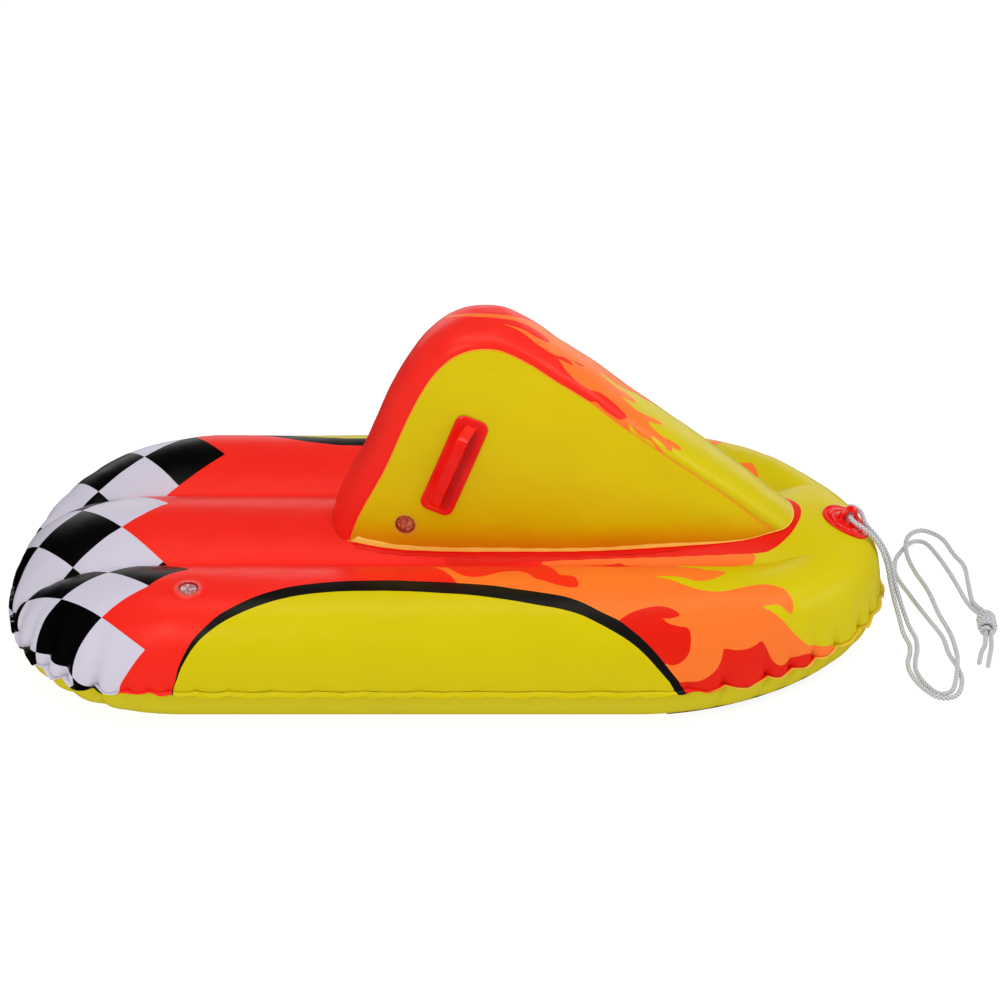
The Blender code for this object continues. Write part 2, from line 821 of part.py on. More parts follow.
def to_panel(vertices, side):
    """Carry handle-local points (along, across, off) onto the bulged side panel."""
    lean = math.radians(handle_lean_deg)
    local = np.array(vertices, float)
    x = handle_centre_x + local[:, 0] * math.sin(lean) + local[:, 1] * math.cos(lean)
    z = handle_centre_height + local[:, 0] * math.cos(lean) - local[:, 1] * math.sin(lean)
    face = panel_half_width(x, z) + sheet_thickness + gap + handle_seat_gap
    tilt = (
        panel_half_width(handle_centre_x, handle_centre_height + handle_width)
        - panel_half_width(handle_centre_x, handle_centre_height - handle_width)
    ) / (2 * handle_width)
    y = face + local[:, 2]
    z = z - local[:, 2] * tilt
    return np.stack([x, side * y, z], 1)


def make_handle_plate(name, collection, material):
    """Flat plate with rounded corners whose face is inset three times to leave a raised rim."""
    outline = rounded_rectangle(handle_length, handle_width, handle_corner_radius)
    body = bmesh.new()
    face = body.faces.new([body.verts.new((*p, 0.0)) for p in outline])
    raised = bmesh.ops.extrude_face_region(body, geom=[face])["geom"]
    top = [part for part in raised if isinstance(part, bmesh.types.BMFace)]
    corners = [part for part in raised if isinstance(part, bmesh.types.BMVert)]
    bmesh.ops.translate(body, verts=corners, vec=(0, 0, handle_plate_thickness))
    bmesh.ops.recalc_face_normals(body, faces=body.faces)
    rise = handle_rim_height - handle_plate_thickness
    for share, depth in ((0.3, rise), (0.7, 0.0), (0.5, -rise)):
        bmesh.ops.inset_region(
            body, faces=top, thickness=handle_rim_width * share, depth=depth, use_even_offset=True
        )
    mesh = bpy.data.meshes.new(name)
    body.to_mesh(mesh)
    body.free()
    mesh.polygons.foreach_set("use_smooth", [True] * len(mesh.polygons))
    mesh.materials.append(material)
    plate = bpy.data.objects.new(name, mesh)
    collection.objects.link(plate)
    return plate


def make_handle(name, side, collection, cutters, material):
    """Moulded handle: a dished plate with a raised rim and a strap standing off it."""
    plate = make_handle_plate(name, collection, material)
    places = np.linspace(-handle_length / 2, handle_length / 2, handle_bends + 2)[1:-1]
    bend_onto(plate, places, lambda points: to_panel(points, side))
    outline = arch_outline(
        strap_foot_reach,
        strap_bend_reach,
        strap_stand_off,
        strap_thickness,
        -handle_plate_thickness * 0.5,
    )
    strap = extruded(name + "_strap_form", outline, strap_width / 2, cutters)
    bend_onto(strap, places, lambda points: to_panel(points, side))
    hide_cutter(strap)
    join(plate, strap)
    return plate


def turned(name, profile, collection, material, closed=True, steps=0):
    """Turned solid: a profile of (radius, height) pairs swept once round its own Z axis.

    The profile runs down the outer side. One that starts and ends on the axis isn't closed.
    """
    count = len(profile)
    edges = [(k, k + 1) for k in range(count - 1)]
    if closed:
        edges.append((count - 1, 0))
    mesh = bpy.data.meshes.new(name)
    mesh.from_pydata([(radius, 0.0, height) for radius, height in profile], edges, [])
    mesh.materials.append(material)
    item = bpy.data.objects.new(name, mesh)
    collection.objects.link(item)
    sweep = item.modifiers.new("turn", "SCREW")
    sweep.axis = "Z"
    sweep.angle = 2 * math.pi
    sweep.steps = steps or turned_steps
    sweep.render_steps = steps or turned_steps
    sweep.use_merge_vertices = True
    sweep.merge_threshold = gap / 10
    sweep.use_smooth_shade = True
    return item


def round_bar(name, radius, length, centre, collection, material=None):
    """Plain round bar along Z about a centre point."""
    body = bmesh.new()
    bmesh.ops.create_cone(
        body,
        cap_ends=True,
        segments=turned_steps,
        radius1=radius,
        radius2=radius,
        depth=length,
        matrix=Matrix.Translation(centre),
    )
    mesh = bpy.data.meshes.new(name)
    body.to_mesh(mesh)
    body.free()
    if material is not None:
        mesh.materials.append(material)
    item = bpy.data.objects.new(name, mesh)
    collection.objects.link(item)
    return item


def surface_frame(origin, normal, along):
    """Placement with its Z axis on the normal and its X axis near `along`."""
    z_axis = Vector(normal).normalized()
    x_axis = Vector(along)
    x_axis = (x_axis - z_axis * x_axis.dot(z_axis)).normalized()
    y_axis = z_axis.cross(x_axis)
    frame = Matrix((x_axis, y_axis, z_axis)).transposed().to_4x4()
    frame.translation = Vector(origin)
    return frame


def deck_frame(x, y):
    """Frame on the deck at (x, y): its Z axis is the deck's outward normal."""
    step = slope_reach
    slope_x = float(deck_height(x + step, y) - deck_height(x - step, y)) / (2 * step)
    slope_y = float(deck_height(x, y + step) - deck_height(x, y - step)) / (2 * step)
    return surface_frame((x, y, float(deck_height(x, y))), (-slope_x, -slope_y, 1), (1, 0, 0))


def panel_frame(x, z, side):
    """Frame on a side panel at (x, z): its Z axis is the panel's outward normal."""
    step = slope_reach
    slope_x = float(panel_half_width(x + step, z) - panel_half_width(x - step, z)) / (2 * step)
    slope_z = float(panel_half_width(x, z + step) - panel_half_width(x, z - step)) / (2 * step)
    face = float(panel_half_width(x, z)) + sheet_thickness + gap
    return surface_frame((x, side * face, z), (-slope_x, side, -slope_z), (1, 0, 0))


def make_valve(prefix, frame, collection, cutters, sheet, material, plug_material):
    """Push-in air valve: a welded well, a sliding stem, a pull-out plug and a check flap."""
    base = gap
    top = base + valve_flange_thickness
    floor = -valve_well_depth
    hole_radius = valve_stem_radius + valve_running_gap
    body = turned(
        prefix + "_valve_body",
        [
            (valve_flange_radius, top - valve_flange_thickness * 0.5),
            (valve_flange_radius, base),
            (valve_well_radius, base),
            (valve_well_radius, floor),
            (hole_radius, floor),
            (hole_radius, floor + valve_wall),
            (valve_well_radius - valve_wall, floor + valve_wall),
            (valve_well_radius - valve_wall, top),
            (valve_flange_radius - valve_flange_thickness, top),
        ],
        collection,
        material,
    )
    rim = -valve_stem_recess
    stem_foot = rim - valve_stem_length
    bore = valve_stem_radius - valve_stem_wall
    stem = turned(
        prefix + "_valve_stem",
        [
            (valve_stem_radius, rim),
            (valve_stem_radius, stem_foot + valve_lip_thickness),
            (valve_lip_radius, stem_foot + valve_lip_thickness),
            (valve_lip_radius, stem_foot),
            (bore, stem_foot),
            (bore, rim),
        ],
        collection,
        material,
    )
    plug = make_valve_plug(prefix, rim + gap, bore, collection, cutters, plug_material)
    flap_radius = valve_lip_radius - valve_wall
    flap = round_bar(
        prefix + "_valve_flap",
        flap_radius,
        valve_flap_thickness,
        (-flap_radius, 0, 0),
        collection,
        plug_material,
    )
    hinge = Matrix.Translation((flap_radius, 0, stem_foot - gap - valve_flap_thickness / 2))
    flap.matrix_world = frame @ hinge
    for item in (body, stem, plug):
        item.matrix_world = frame
    hole = round_bar(
        prefix + "_valve_hole_form",
        valve_well_radius + valve_hole_clearance,
        valve_well_depth * valve_hole_share,
        (0, 0, 0),
        cutters,
    )
    hide_cutter(hole)
    hole.matrix_world = frame
    cut(sheet, hole)
    return body, stem, plug, flap


def make_valve_plug(prefix, low, bore, collection, cutters, material):
    """Push-in plug: a cap with a hollow spigot and a finger tab across its top."""
    spigot = bore - valve_plug_fit_gap
    cap_top = low + valve_plug_thickness
    cup = low - valve_plug_reach * valve_cup_share
    plug = turned(
        prefix + "_valve_plug",
        [
            (0.0, cap_top),
            (valve_plug_radius - valve_plug_thickness * 0.3, cap_top),
            (valve_plug_radius, low + valve_plug_thickness * 0.7),
            (valve_plug_radius, low),
            (spigot, low),
            (spigot, low - valve_plug_reach),
            (spigot - valve_wall, low - valve_plug_reach),
            (spigot - valve_wall, cup),
            (0.0, cup),
        ],
        collection,
        material,
        closed=False,
    )
    reach = valve_tab_length / 2
    tab_top = cap_top + valve_tab_height
    corner = valve_tab_height * valve_tab_corner_share
    outline = [
        (-reach, low + valve_plug_thickness / 2),
        (reach, low + valve_plug_thickness / 2),
        (reach, tab_top - corner),
        (reach - corner, tab_top),
        (-reach + corner, tab_top),
        (-reach, tab_top - corner),
    ]
    tab = extruded(prefix + "_valve_tab_form", outline, valve_tab_width / 2, cutters)
    tab.parent = plug
    hide_cutter(tab)
    join(plug, tab)
    return plug


def drape_on_deck(vertices, frame):
    """Lower frame-local points along the frame's Z axis until its base lies on the deck."""
    local = np.array(vertices, float)
    basis = np.array(frame.to_3x3())
    origin = np.array(frame.translation)
    lift = np.zeros(len(local))
    for _ in range(12):
        flat = np.stack([local[:, 0], local[:, 1], lift], 1)
        world = flat @ basis.T + origin
        miss = world[:, 2] - deck_height(world[:, 0], world[:, 1])
        lift = lift - miss * 0.8
    placed = local.copy()
    placed[:, 2] = local[:, 2] + lift
    return placed @ basis.T + origin


def draped(name, form, frame, collection, material=None):
    """Mesh object from a form, which is used up, with its points laid on the deck."""
    mesh = realised(form)
    bpy.data.objects.remove(form)
    places = drape_on_deck([tuple(v.co) for v in mesh.vertices], frame)
    for vertex, place in zip(mesh.vertices, places):
        vertex.co = place
    mesh.name = name
    if material is not None and not mesh.materials:
        mesh.materials.append(material)
    item = bpy.data.objects.new(name, mesh)
    collection.objects.link(item)
    return item


def make_tow_fitting(collection, cutters, material):
    """Round welded patch with a wide arch that the rope passes through."""
    frame = deck_frame(tow_centre_x, 0.0)
    upper = gap + tow_disc_thickness
    dish = upper - tow_rim_height * tow_dish_share
    profile = [
        (0.0, upper),
        (tow_disc_radius * 0.35, upper),
        (tow_disc_radius * 0.62, dish),
        (tow_disc_radius - tow_rim_width * tow_rim_slope_share, dish),
        (tow_disc_radius - tow_rim_width, upper),
        (tow_disc_radius, upper),
        (tow_disc_radius, gap),
        (tow_disc_radius * 0.68, gap),
        (tow_disc_radius * 0.35, gap),
        (0.0, gap),
    ]
    form = turned("tow_disc_form", profile, cutters, material, closed=False, steps=tow_steps)
    disc = draped("tow_fitting", form, frame, collection, material)
    arch_foot = gap + tow_disc_thickness / 2
    outer = []
    inner = []
    for k in range(tow_arch_steps + 1):
        angle = math.pi * k / tow_arch_steps
        outer.append(
            (
                tow_arch_half_span * math.cos(angle),
                arch_foot + (tow_arch_height - arch_foot) * math.sin(angle) ** 0.8,
            )
        )
        inner.append(
            (
                (tow_arch_half_span - tow_arch_wall) * math.cos(angle),
                arch_foot + (tow_arch_height - arch_foot - tow_arch_wall) * math.sin(angle) ** 0.8,
            )
        )
    bar = extruded("tow_arch_bar_form", outer + inner[::-1], tow_arch_width / 2, cutters)
    arch = draped("tow_arch_form", bar, frame, cutters)
    hide_cutter(arch)
    join(disc, arch)
    return disc


def make_nose_strip(collection, material):
    """Black rub strip that follows the lower sheet under the nose."""
    points, _ = outline_points(strip_ring_steps)
    quarter_count = int(len(points) / 4 * strip_turn_share)
    chosen = np.arange(-quarter_count, quarter_count + 1) % len(points)
    rows = []
    taper = 1 - np.abs(np.linspace(-1, 1, len(chosen))) ** 3
    steps = strip_steps
    for k in range(steps + 1):
        row = []
        for place, index in enumerate(chosen):
            middle = (strip_upper_share + strip_lower_share) / 2
            spread = (strip_lower_share - strip_upper_share) / 2 * (0.25 + 0.75 * taper[place])
            share = middle + spread * (2 * k / steps - 1)
            ring = bottom_ring(points, share, gap + strip_thickness)
            row.append(ring[index])
        rows.append(row)
    vertices = np.array(rows).reshape(-1, 3)
    item = add_object(
        "nose_rub_strip", vertices, grid_faces(steps + 1, len(chosen)), collection, material
    )
    add_shell(item, strip_thickness, (half_length, 0, -half_length))
    return item


def smooth_route(route, spacing):
    """Evenly spaced points on a smooth curve through a hand-chosen route."""
    points = np.array(route, float) + (tow_centre_x, 0, 0)
    run = np.concatenate([[0], np.cumsum(np.linalg.norm(np.diff(points, axis=0), axis=1))])
    fine = np.linspace(0, run[-1], 2000)
    curve = np.stack([spline(run, points[:, k], fine) for k in range(3)], 1)
    length = np.concatenate([[0], np.cumsum(np.linalg.norm(np.diff(curve, axis=0), axis=1))])
    count = max(4, int(round(length[-1] / spacing)) + 1)
    at = np.linspace(0, length[-1], count)
    at = np.concatenate([at[:1], [rope_radius / 2], at[1:-1], [at[-1] - rope_radius / 2], at[-1:]])
    points = np.stack([np.interp(at, length, curve[:, k]) for k in range(3)], 1)
    points[:, 2] = np.maximum(points[:, 2], rope_radius + gap / 2)
    return points, length[-1]


def make_rope(name, route, collection, material):
    """Round rope along a route, with closed ends."""
    points, _ = smooth_route(route, rope_point_spacing)
    curve = bpy.data.curves.new(name, "CURVE")
    curve.dimensions = "3D"
    curve.bevel_depth = rope_radius
    curve.bevel_resolution = 2
    curve.use_fill_caps = True
    line = curve.splines.new("POLY")
    line.points.add(len(points) - 1)
    for slot, point in zip(line.points, points):
        slot.co = (*point, 1.0)
    item = bpy.data.objects.new(name, curve)
    curve.materials.append(material)
    collection.objects.link(item)
    return item


def make_knot(collection, material):
    """Overhand knot drawn as one wound lump with shallow grooves, from a round ball."""
    body = bmesh.new()
    bmesh.ops.create_uvsphere(
        body, u_segments=knot_columns, v_segments=knot_rows, radius=1.0,
        matrix=Matrix.Rotation(-math.pi / 2, 4, "X"),
    )
    for vertex in body.verts:
        along = max(-1.0, min(1.0, vertex.co.y))
        polar = math.acos(along)
        around = math.atan2(vertex.co.z, vertex.co.x)
        wave = 1 + knot_groove_share * math.cos(2 * around + 5 * polar)
        radius = knot_radius * math.sin(polar) ** 0.6 * wave
        end = math.copysign(abs(along) ** 0.5, along) * knot_length / 2
        place = Vector((radius * math.cos(around), end, radius * math.sin(around)))
        vertex.co = place + Vector(knot_place) + Vector((tow_centre_x, 0, 0))
    mesh = bpy.data.meshes.new("rope_knot")
    body.to_mesh(mesh)
    body.free()
    mesh.polygons.foreach_set("use_smooth", [True] * len(mesh.polygons))
    mesh.materials.append(material)
    knot = bpy.data.objects.new("rope_knot", mesh)
    collection.objects.link(knot)
    return knot


def main():
    clear_scene()
    parts = make_collection("inflatable_snow_sled")
    cutters = make_collection("cutting_shapes", hidden=True)

    red_sheet = make_material("red_sheet", DECK_RED, 0.32)
    yellow_sheet = make_material("yellow_sheet", HULL_YELLOW, 0.30)
    clear_sheet = make_material("clear_sheet", (0.85, 0.83, 0.80), 0.15, alpha=0.6)
    web_sheet = make_material("web_sheet", (0.75, 0.75, 0.72), 0.45)
    red_moulding = make_material("red_moulding", (0.80, 0.020, 0.010), 0.28)
    black_strip = make_material("black_strip", (0.012, 0.012, 0.013), 0.5)
    white_rope = make_material("white_rope", (0.80, 0.80, 0.78), 0.8)

    top = make_hull_top(parts, red_sheet)
    make_hull_bottom(parts, yellow_sheet)
    make_web("hull_web_left", 1, parts, web_sheet)
    make_web("hull_web_right", -1, parts, web_sheet)
    make_nose_strip(parts, black_strip)

    make_console_panel("console_left_panel", 1, parts, yellow_sheet)
    right_panel = make_console_panel("console_right_panel", -1, parts, yellow_sheet)
    make_console_band(parts, red_sheet)
    make_console_flange(parts, yellow_sheet)

    make_handle("handle_left", 1, parts, cutters, red_moulding)
    make_handle("handle_right", -1, parts, cutters, red_moulding)

    hull_frame = deck_frame(hull_valve_x, hull_valve_y)
    make_valve("hull", hull_frame, parts, cutters, top, clear_sheet, clear_sheet)
    console_frame = panel_frame(console_valve_x, console_valve_height, -1)
    make_valve("console", console_frame, parts, cutters, right_panel, clear_sheet, clear_sheet)

    make_tow_fitting(parts, cutters, red_moulding)
    make_rope("rope_strand_a", rope_a_route, parts, white_rope)
    make_rope("rope_strand_b", rope_b_route, parts, white_rope)
    make_rope("rope_tail_a", tail_a_route, parts, white_rope)
    make_rope("rope_tail_b", tail_b_route, parts, white_rope)
    make_knot(parts, white_rope)


main()
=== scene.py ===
# %% [markdown]
# # Three-lobe snow sled in printed vinyl
# The packed solids are loaded as a fixed frame, in metres, with +X at the nose and +Z up.
# Every piece below is built where its solid stands.

import json
import math

import bmesh
import bpy
import numpy as np
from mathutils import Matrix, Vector

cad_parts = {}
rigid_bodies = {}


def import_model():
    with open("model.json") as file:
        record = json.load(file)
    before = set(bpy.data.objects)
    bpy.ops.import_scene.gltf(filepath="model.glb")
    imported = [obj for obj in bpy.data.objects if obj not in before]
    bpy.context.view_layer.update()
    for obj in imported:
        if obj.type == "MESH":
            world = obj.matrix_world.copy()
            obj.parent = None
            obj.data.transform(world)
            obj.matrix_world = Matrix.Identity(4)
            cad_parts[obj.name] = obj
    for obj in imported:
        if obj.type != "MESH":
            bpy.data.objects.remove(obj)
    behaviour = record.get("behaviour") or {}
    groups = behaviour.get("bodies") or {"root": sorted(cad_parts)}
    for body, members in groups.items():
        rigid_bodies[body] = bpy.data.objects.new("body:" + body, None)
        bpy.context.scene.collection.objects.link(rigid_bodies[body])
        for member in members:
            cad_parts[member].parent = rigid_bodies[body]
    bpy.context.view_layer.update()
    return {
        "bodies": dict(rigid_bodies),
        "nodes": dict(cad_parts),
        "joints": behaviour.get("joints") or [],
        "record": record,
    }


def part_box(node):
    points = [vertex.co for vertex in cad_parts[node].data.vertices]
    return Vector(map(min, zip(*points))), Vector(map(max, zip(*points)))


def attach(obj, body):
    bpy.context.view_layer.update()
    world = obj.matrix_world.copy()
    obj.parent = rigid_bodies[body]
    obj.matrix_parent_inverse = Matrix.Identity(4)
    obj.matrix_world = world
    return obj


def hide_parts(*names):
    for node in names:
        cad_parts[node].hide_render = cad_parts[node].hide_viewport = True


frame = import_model()

# %% [markdown]
# ## Camera
# The sled is seen from its near side, a little from above, through a long lens: the far rim
# looks almost as long as the near one.

# %% Camera
pitch = math.radians(30.84)
distance = 4.2
target = (0.0674, 0.0, 0.1778)
lens = bpy.data.cameras.new("photo_camera")
lens.sensor_width = 36.0
lens.lens = 120.25
camera = bpy.data.objects.new("photo_camera", lens)
bpy.context.scene.collection.objects.link(camera)
camera.location = (
    target[0],
    target[1] - distance * math.cos(pitch),
    target[2] + distance * math.sin(pitch),
)
camera.rotation_euler = (math.pi / 2 - pitch, 0.0, 0.0)
bpy.context.scene.camera = camera
print("camera stands at", [round(c, 3) for c in camera.location])

# %% [markdown]
# ## Surfaces
# A few short helpers are used on every surface: unit vectors, lengths along a line, and shares
# that ramp up or ease between two values.

# %% Small helpers
def rows_from(numbers, columns=2):
    """Rows of values written as whole ten-thousandths: tenths of a millimetre for lengths."""
    return np.array(numbers, float).reshape(-1, columns) / 10000


def unit(vectors):
    """Vectors brought to length 1 along their last axis."""
    return vectors / np.maximum(np.linalg.norm(vectors, axis=-1, keepdims=True), 1e-12)


def lengths_along(points):
    """Length of a line of points from its start to each of them."""
    return np.concatenate([[0], np.cumsum(np.linalg.norm(np.diff(points, axis=0), axis=1))])


def ramp(value, start, stop):
    """Share of the way from start to stop, held at 0 and 1; stop may lie below start."""
    return np.clip((value - start) / (stop - start), 0, 1)


def smoothstep(t):
    """Share eased at both ends: t^2 (3 - 2 t)."""
    return t * t * (3 - 2 * t)


def bell(value, width):
    """exp(-(value / width)^2)."""
    return np.exp(-(value / width) ** 2)


def angles(count):
    """Evenly spaced angles round a circle."""
    return np.arange(count) * 2 * math.pi / count


print("three eased shares:", smoothstep(np.array([0.25, 0.5, 0.75])))

# %% [markdown]
# Each piece is a numpy grid of points, turned into a smooth mesh. Sculpting or modifiers could
# give the same form, but a formula can be measured, changed and read again. A material reads
# what was printed on it from named point attributes, so the print bends with the surface.

# %% Grid surfaces
def grid_mesh(
    name, points, faces_out=True, attributes=None, loop_rows=False, loop_columns=False, keep=None
):
    """Mesh object from an array of points (rows, columns, 3) with smooth quads.

    Vertex (i, j) is points[i, j]. loop_rows joins the last row to the first, loop_columns the
    last column to the first. attributes maps a name to an array (rows, columns) of floats.
    keep, an array (rows - 1, columns - 1), says which quads are made.
    """
    rows, columns = points.shape[:2]
    index = np.arange(rows * columns).reshape(rows, columns)
    if loop_rows:
        index = np.concatenate([index, index[:1]])
    if loop_columns:
        index = np.concatenate([index, index[:, :1]], 1)
    quads = np.stack([index[:-1, :-1], index[:-1, 1:], index[1:, 1:], index[1:, :-1]], -1)
    quads = quads.reshape(-1, 4)
    used = np.arange(rows * columns)
    if keep is not None:
        used, corners = np.unique(quads[keep.reshape(-1)], return_inverse=True)
        quads = corners.reshape(-1, 4)
    if not faces_out:
        quads = quads[:, ::-1]
    mesh = bpy.data.meshes.new(name)
    mesh.vertices.add(len(used))
    places = points.reshape(-1, 3)[used]
    mesh.vertices.foreach_set("co", places.reshape(-1).astype(np.float32))
    mesh.loops.add(quads.size)
    mesh.loops.foreach_set("vertex_index", quads.reshape(-1).astype(np.int32))
    mesh.polygons.add(len(quads))
    mesh.polygons.foreach_set("loop_start", np.arange(0, quads.size, 4, dtype=np.int32))
    mesh.polygons.foreach_set("use_smooth", np.ones(len(quads), dtype=bool))
    mesh.update(calc_edges=True)
    mesh.validate()
    for key, values in (attributes or {}).items():
        layer = mesh.attributes.new(key, "FLOAT", "POINT")
        layer.data.foreach_set("value", np.asarray(values, dtype=np.float32).reshape(-1)[used])
    item = bpy.data.objects.new(name, mesh)
    bpy.context.scene.collection.objects.link(item)
    return item


def finish_piece(item, material, nodes, body="sled"):
    """Give a piece its material, body, CAD nodes and material slot, and print its size."""
    item.data.materials.append(material)
    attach(item, body)
    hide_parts(*nodes)
    print(item.name, len(item.data.vertices), "vertices")


def weld(item):
    """Merge the points of a piece that coincide, such as those of a pole."""
    body = bmesh.new()
    body.from_mesh(item.data)
    bmesh.ops.remove_doubles(body, verts=body.verts, dist=0.000002)
    body.to_mesh(item.data)
    body.free()
    return item


def normals_of(points, toward, at=None):
    """Unit normals of a grid surface, turned so that the middle one, or `at`, faces `toward`."""
    normal = unit(np.cross(np.gradient(points, axis=0), np.gradient(points, axis=1)))
    row, column = at or (points.shape[0] // 2, points.shape[1] // 2)
    return -normal if normal[row, column] @ np.array(toward, float) < 0 else normal


level_grid = np.stack([*np.meshgrid(np.arange(3.0), np.arange(4.0)), np.zeros((4, 3))], -1)
print("normal of a level grid:", normals_of(level_grid, (0, 0, 1))[1, 1])

# %% [markdown]
# Lines and profiles are given by a few places and read as smooth curves. Air-filled sheet is
# never quite even, so faint lumps are laid over it; sums of sines are smooth at every scale
# and come out the same on each run.

# %% Curves and slack
def spline(stations, values, at):
    """Smooth curve through values at stations, read at the places `at`."""
    stations = np.asarray(stations, float)
    values = np.asarray(values, float)
    at = np.asarray(at, float)
    slope = np.empty_like(values)
    slope[1:-1] = (values[2:] - values[:-2]) / (stations[2:] - stations[:-2])
    slope[0] = (values[1] - values[0]) / (stations[1] - stations[0])
    slope[-1] = (values[-1] - values[-2]) / (stations[-1] - stations[-2])
    k = np.clip(np.searchsorted(stations, at, side="right") - 1, 0, len(stations) - 2)
    step = stations[k + 1] - stations[k]
    t = (at - stations[k]) / step
    return (
        (2 * t ** 3 - 3 * t ** 2 + 1) * values[k]
        + (t ** 3 - 2 * t ** 2 + t) * step * slope[k]
        + (-2 * t ** 3 + 3 * t ** 2) * values[k + 1]
        + (t ** 3 - t ** 2) * step * slope[k + 1]
    )


def lumps(points, size, seed, octaves=2):
    """Smooth random heights about 0, mostly within 1, at 3-D points: sums of seeded sines."""
    random = np.random.default_rng(seed)
    total = np.zeros(points.shape[:-1])
    weight = 0.0
    for octave in range(octaves):
        scale = size / 1.9 ** octave
        part = np.zeros(points.shape[:-1])
        for _ in range(6):
            direction = unit(random.normal(size=3))
            turn = 2 * math.pi / scale * (0.7 + 0.6 * random.random())
            part += np.sin(points @ direction * turn + random.random() * 2 * math.pi)
        total += part / 2.6 * 0.6 ** octave
        weight += 0.6 ** octave
    return total / weight


def slack_of(points, seed, large, small):
    """Faint lumps of two kinds, each a (height, size), over a slack sheet."""
    return large[0] * lumps(points, large[1], seed) + small[0] * lumps(points, small[1], seed + 1)


places = np.random.default_rng(1).random((500, 3))
print("a lump of 0.1 m reaches", round(float(lumps(places, 0.1, 3).max()), 2))

# %% [markdown]
# ## Shader helpers
# Materials are built from a few small steps: a mix between two colours, a threshold on a point
# attribute, and a bump from noise in object coordinates. A small class keeps each step to one
# line, where nodes placed one by one would take ten.

# %% Shader helpers
class Shader:
    """A node material under construction: `add` makes a node, `link` joins two sockets."""

    def __init__(self, name):
        self.material = bpy.data.materials.new(name)
        self.material.use_nodes = True
        self.tree = self.material.node_tree
        self.tree.nodes.clear()
        self.output = self.add("ShaderNodeOutputMaterial")
        self.surface = self.add("ShaderNodeBsdfPrincipled")
        self.link(self.surface.outputs["BSDF"], self.output.inputs["Surface"])
        self.place = self.add("ShaderNodeTexCoord").outputs["Object"]

    def add(self, kind, **settings):
        node = self.tree.nodes.new(kind)
        for key, value in settings.items():
            setattr(node, key, value)
        return node

    def link(self, source, target):
        self.tree.links.new(source, target)

    def put(self, socket, value):
        """Link a socket, or set a constant on it."""
        if isinstance(value, bpy.types.NodeSocket):
            self.link(value, socket)
        elif isinstance(value, (tuple, list)) and len(value) == 3 and socket.type == "RGBA":
            socket.default_value = (*value, 1.0)
        else:
            socket.default_value = value

    def math(self, operation, first, second=None, third=None):
        node = self.add("ShaderNodeMath", operation=operation)
        for socket, value in zip(node.inputs, (first, second, third)):
            if value is not None:
                self.put(socket, value)
        return node.outputs[0]

    def mix(self, factor, first, second):
        node = self.add("ShaderNodeMix", data_type="RGBA")
        self.put(node.inputs[0], factor)
        self.put(node.inputs[6], first)
        self.put(node.inputs[7], second)
        return node.outputs[2]

    def attribute(self, name):
        return self.add("ShaderNodeAttribute", attribute_name=name).outputs["Fac"]

    def above(self, name, level=0.0):
        """1 where the point attribute is above the level, else 0."""
        return self.math("GREATER_THAN", self.attribute(name), level)

    def noise(self, scale, detail=2.0, rough=0.5):
        node = self.add("ShaderNodeTexNoise")
        for socket, value in zip(
            ("Vector", "Scale", "Detail", "Roughness"), (self.place, scale, detail, rough)
        ):
            self.put(node.inputs[socket], value)
        return node.outputs["Fac"]

    def spread(self, value, low, high, to_low, to_high):
        """Carry a value from low..high to to_low..to_high, held at both ends."""
        node = self.add("ShaderNodeMapRange")
        node.clamp = True
        for socket, number in zip(node.inputs, (value, low, high, to_low, to_high)):
            self.put(socket, number)
        return node.outputs["Result"]

    def bump(self, height, distance, strength=1.0, under=None):
        node = self.add("ShaderNodeBump")
        for socket, value in zip(("Distance", "Strength", "Height"), (distance, strength, height)):
            self.put(node.inputs[socket], value)
        if under is not None:
            self.link(under, node.inputs["Normal"])
        return node.outputs["Normal"]

    def dress(self, values):
        """Put values or links on the surface's sockets by name; gives the material."""
        for name, value in values.items():
            self.put(self.surface.inputs[name], value)
        return self.material


print("shader steps:", ", ".join(name for name in vars(Shader) if not name.startswith("_")))

# %% [markdown]
# The skin is calendered vinyl. One even gloss would look like wet paint, so noise moves tone
# and roughness a little, and two bumps, grain and slack, bend the reflections.

# %% Vinyl finish
def srgb(red, green, blue):
    """Linear colour from display values of 0 to 255."""
    values = np.array([red, green, blue], float) / 255
    linear = np.where(values <= 0.04045, values / 12.92, ((values + 0.055) / 1.055) ** 2.4)
    return tuple(float(c) for c in linear)


def vinyl(shader, colour, rough=0.36, specular=0.27):
    """Finish of a welded vinyl sheet: soft gloss, fine calender grain and a faint film of dust.

    `rough` is the roughness that the dust moves up and down a little, `specular` the gloss.
    """
    tinted = shader.add("ShaderNodeHueSaturation")
    shader.put(tinted.inputs["Color"], colour)
    drift = shader.noise(9.0, 3.0, 0.55)
    shader.put(tinted.inputs["Value"], shader.spread(drift, 0.3, 0.7, 0.975, 1.02))
    smear = shader.noise(34.0, 4.0, 0.6)
    grain = shader.bump(shader.noise(900.0, 1.0), 0.00004, 0.5)
    return shader.dress({
        "Base Color": tinted.outputs["Color"],
        "Roughness": shader.spread(smear, 0.3, 0.75, rough - 0.04, rough + 0.05),
        "Specular IOR Level": specular,
        "Specular Tint": shader.mix(0.5, (1.0, 0.96, 0.80), colour),
        "Normal": shader.bump(shader.noise(42.0), 0.0009, 0.35, grain),
    })


deck_red = srgb(250, 38, 26)
hull_yellow = srgb(215, 196, 0)
console_yellow = srgb(219, 196, 2)
mark_red = srgb(234, 28, 10)
arc_black = srgb(20, 19, 17)
check_white = srgb(213, 207, 222)
check_black = srgb(5, 4, 6)
flame_orange = srgb(255, 122, 44)
print("deck red in linear light:", [round(c, 3) for c in deck_red])

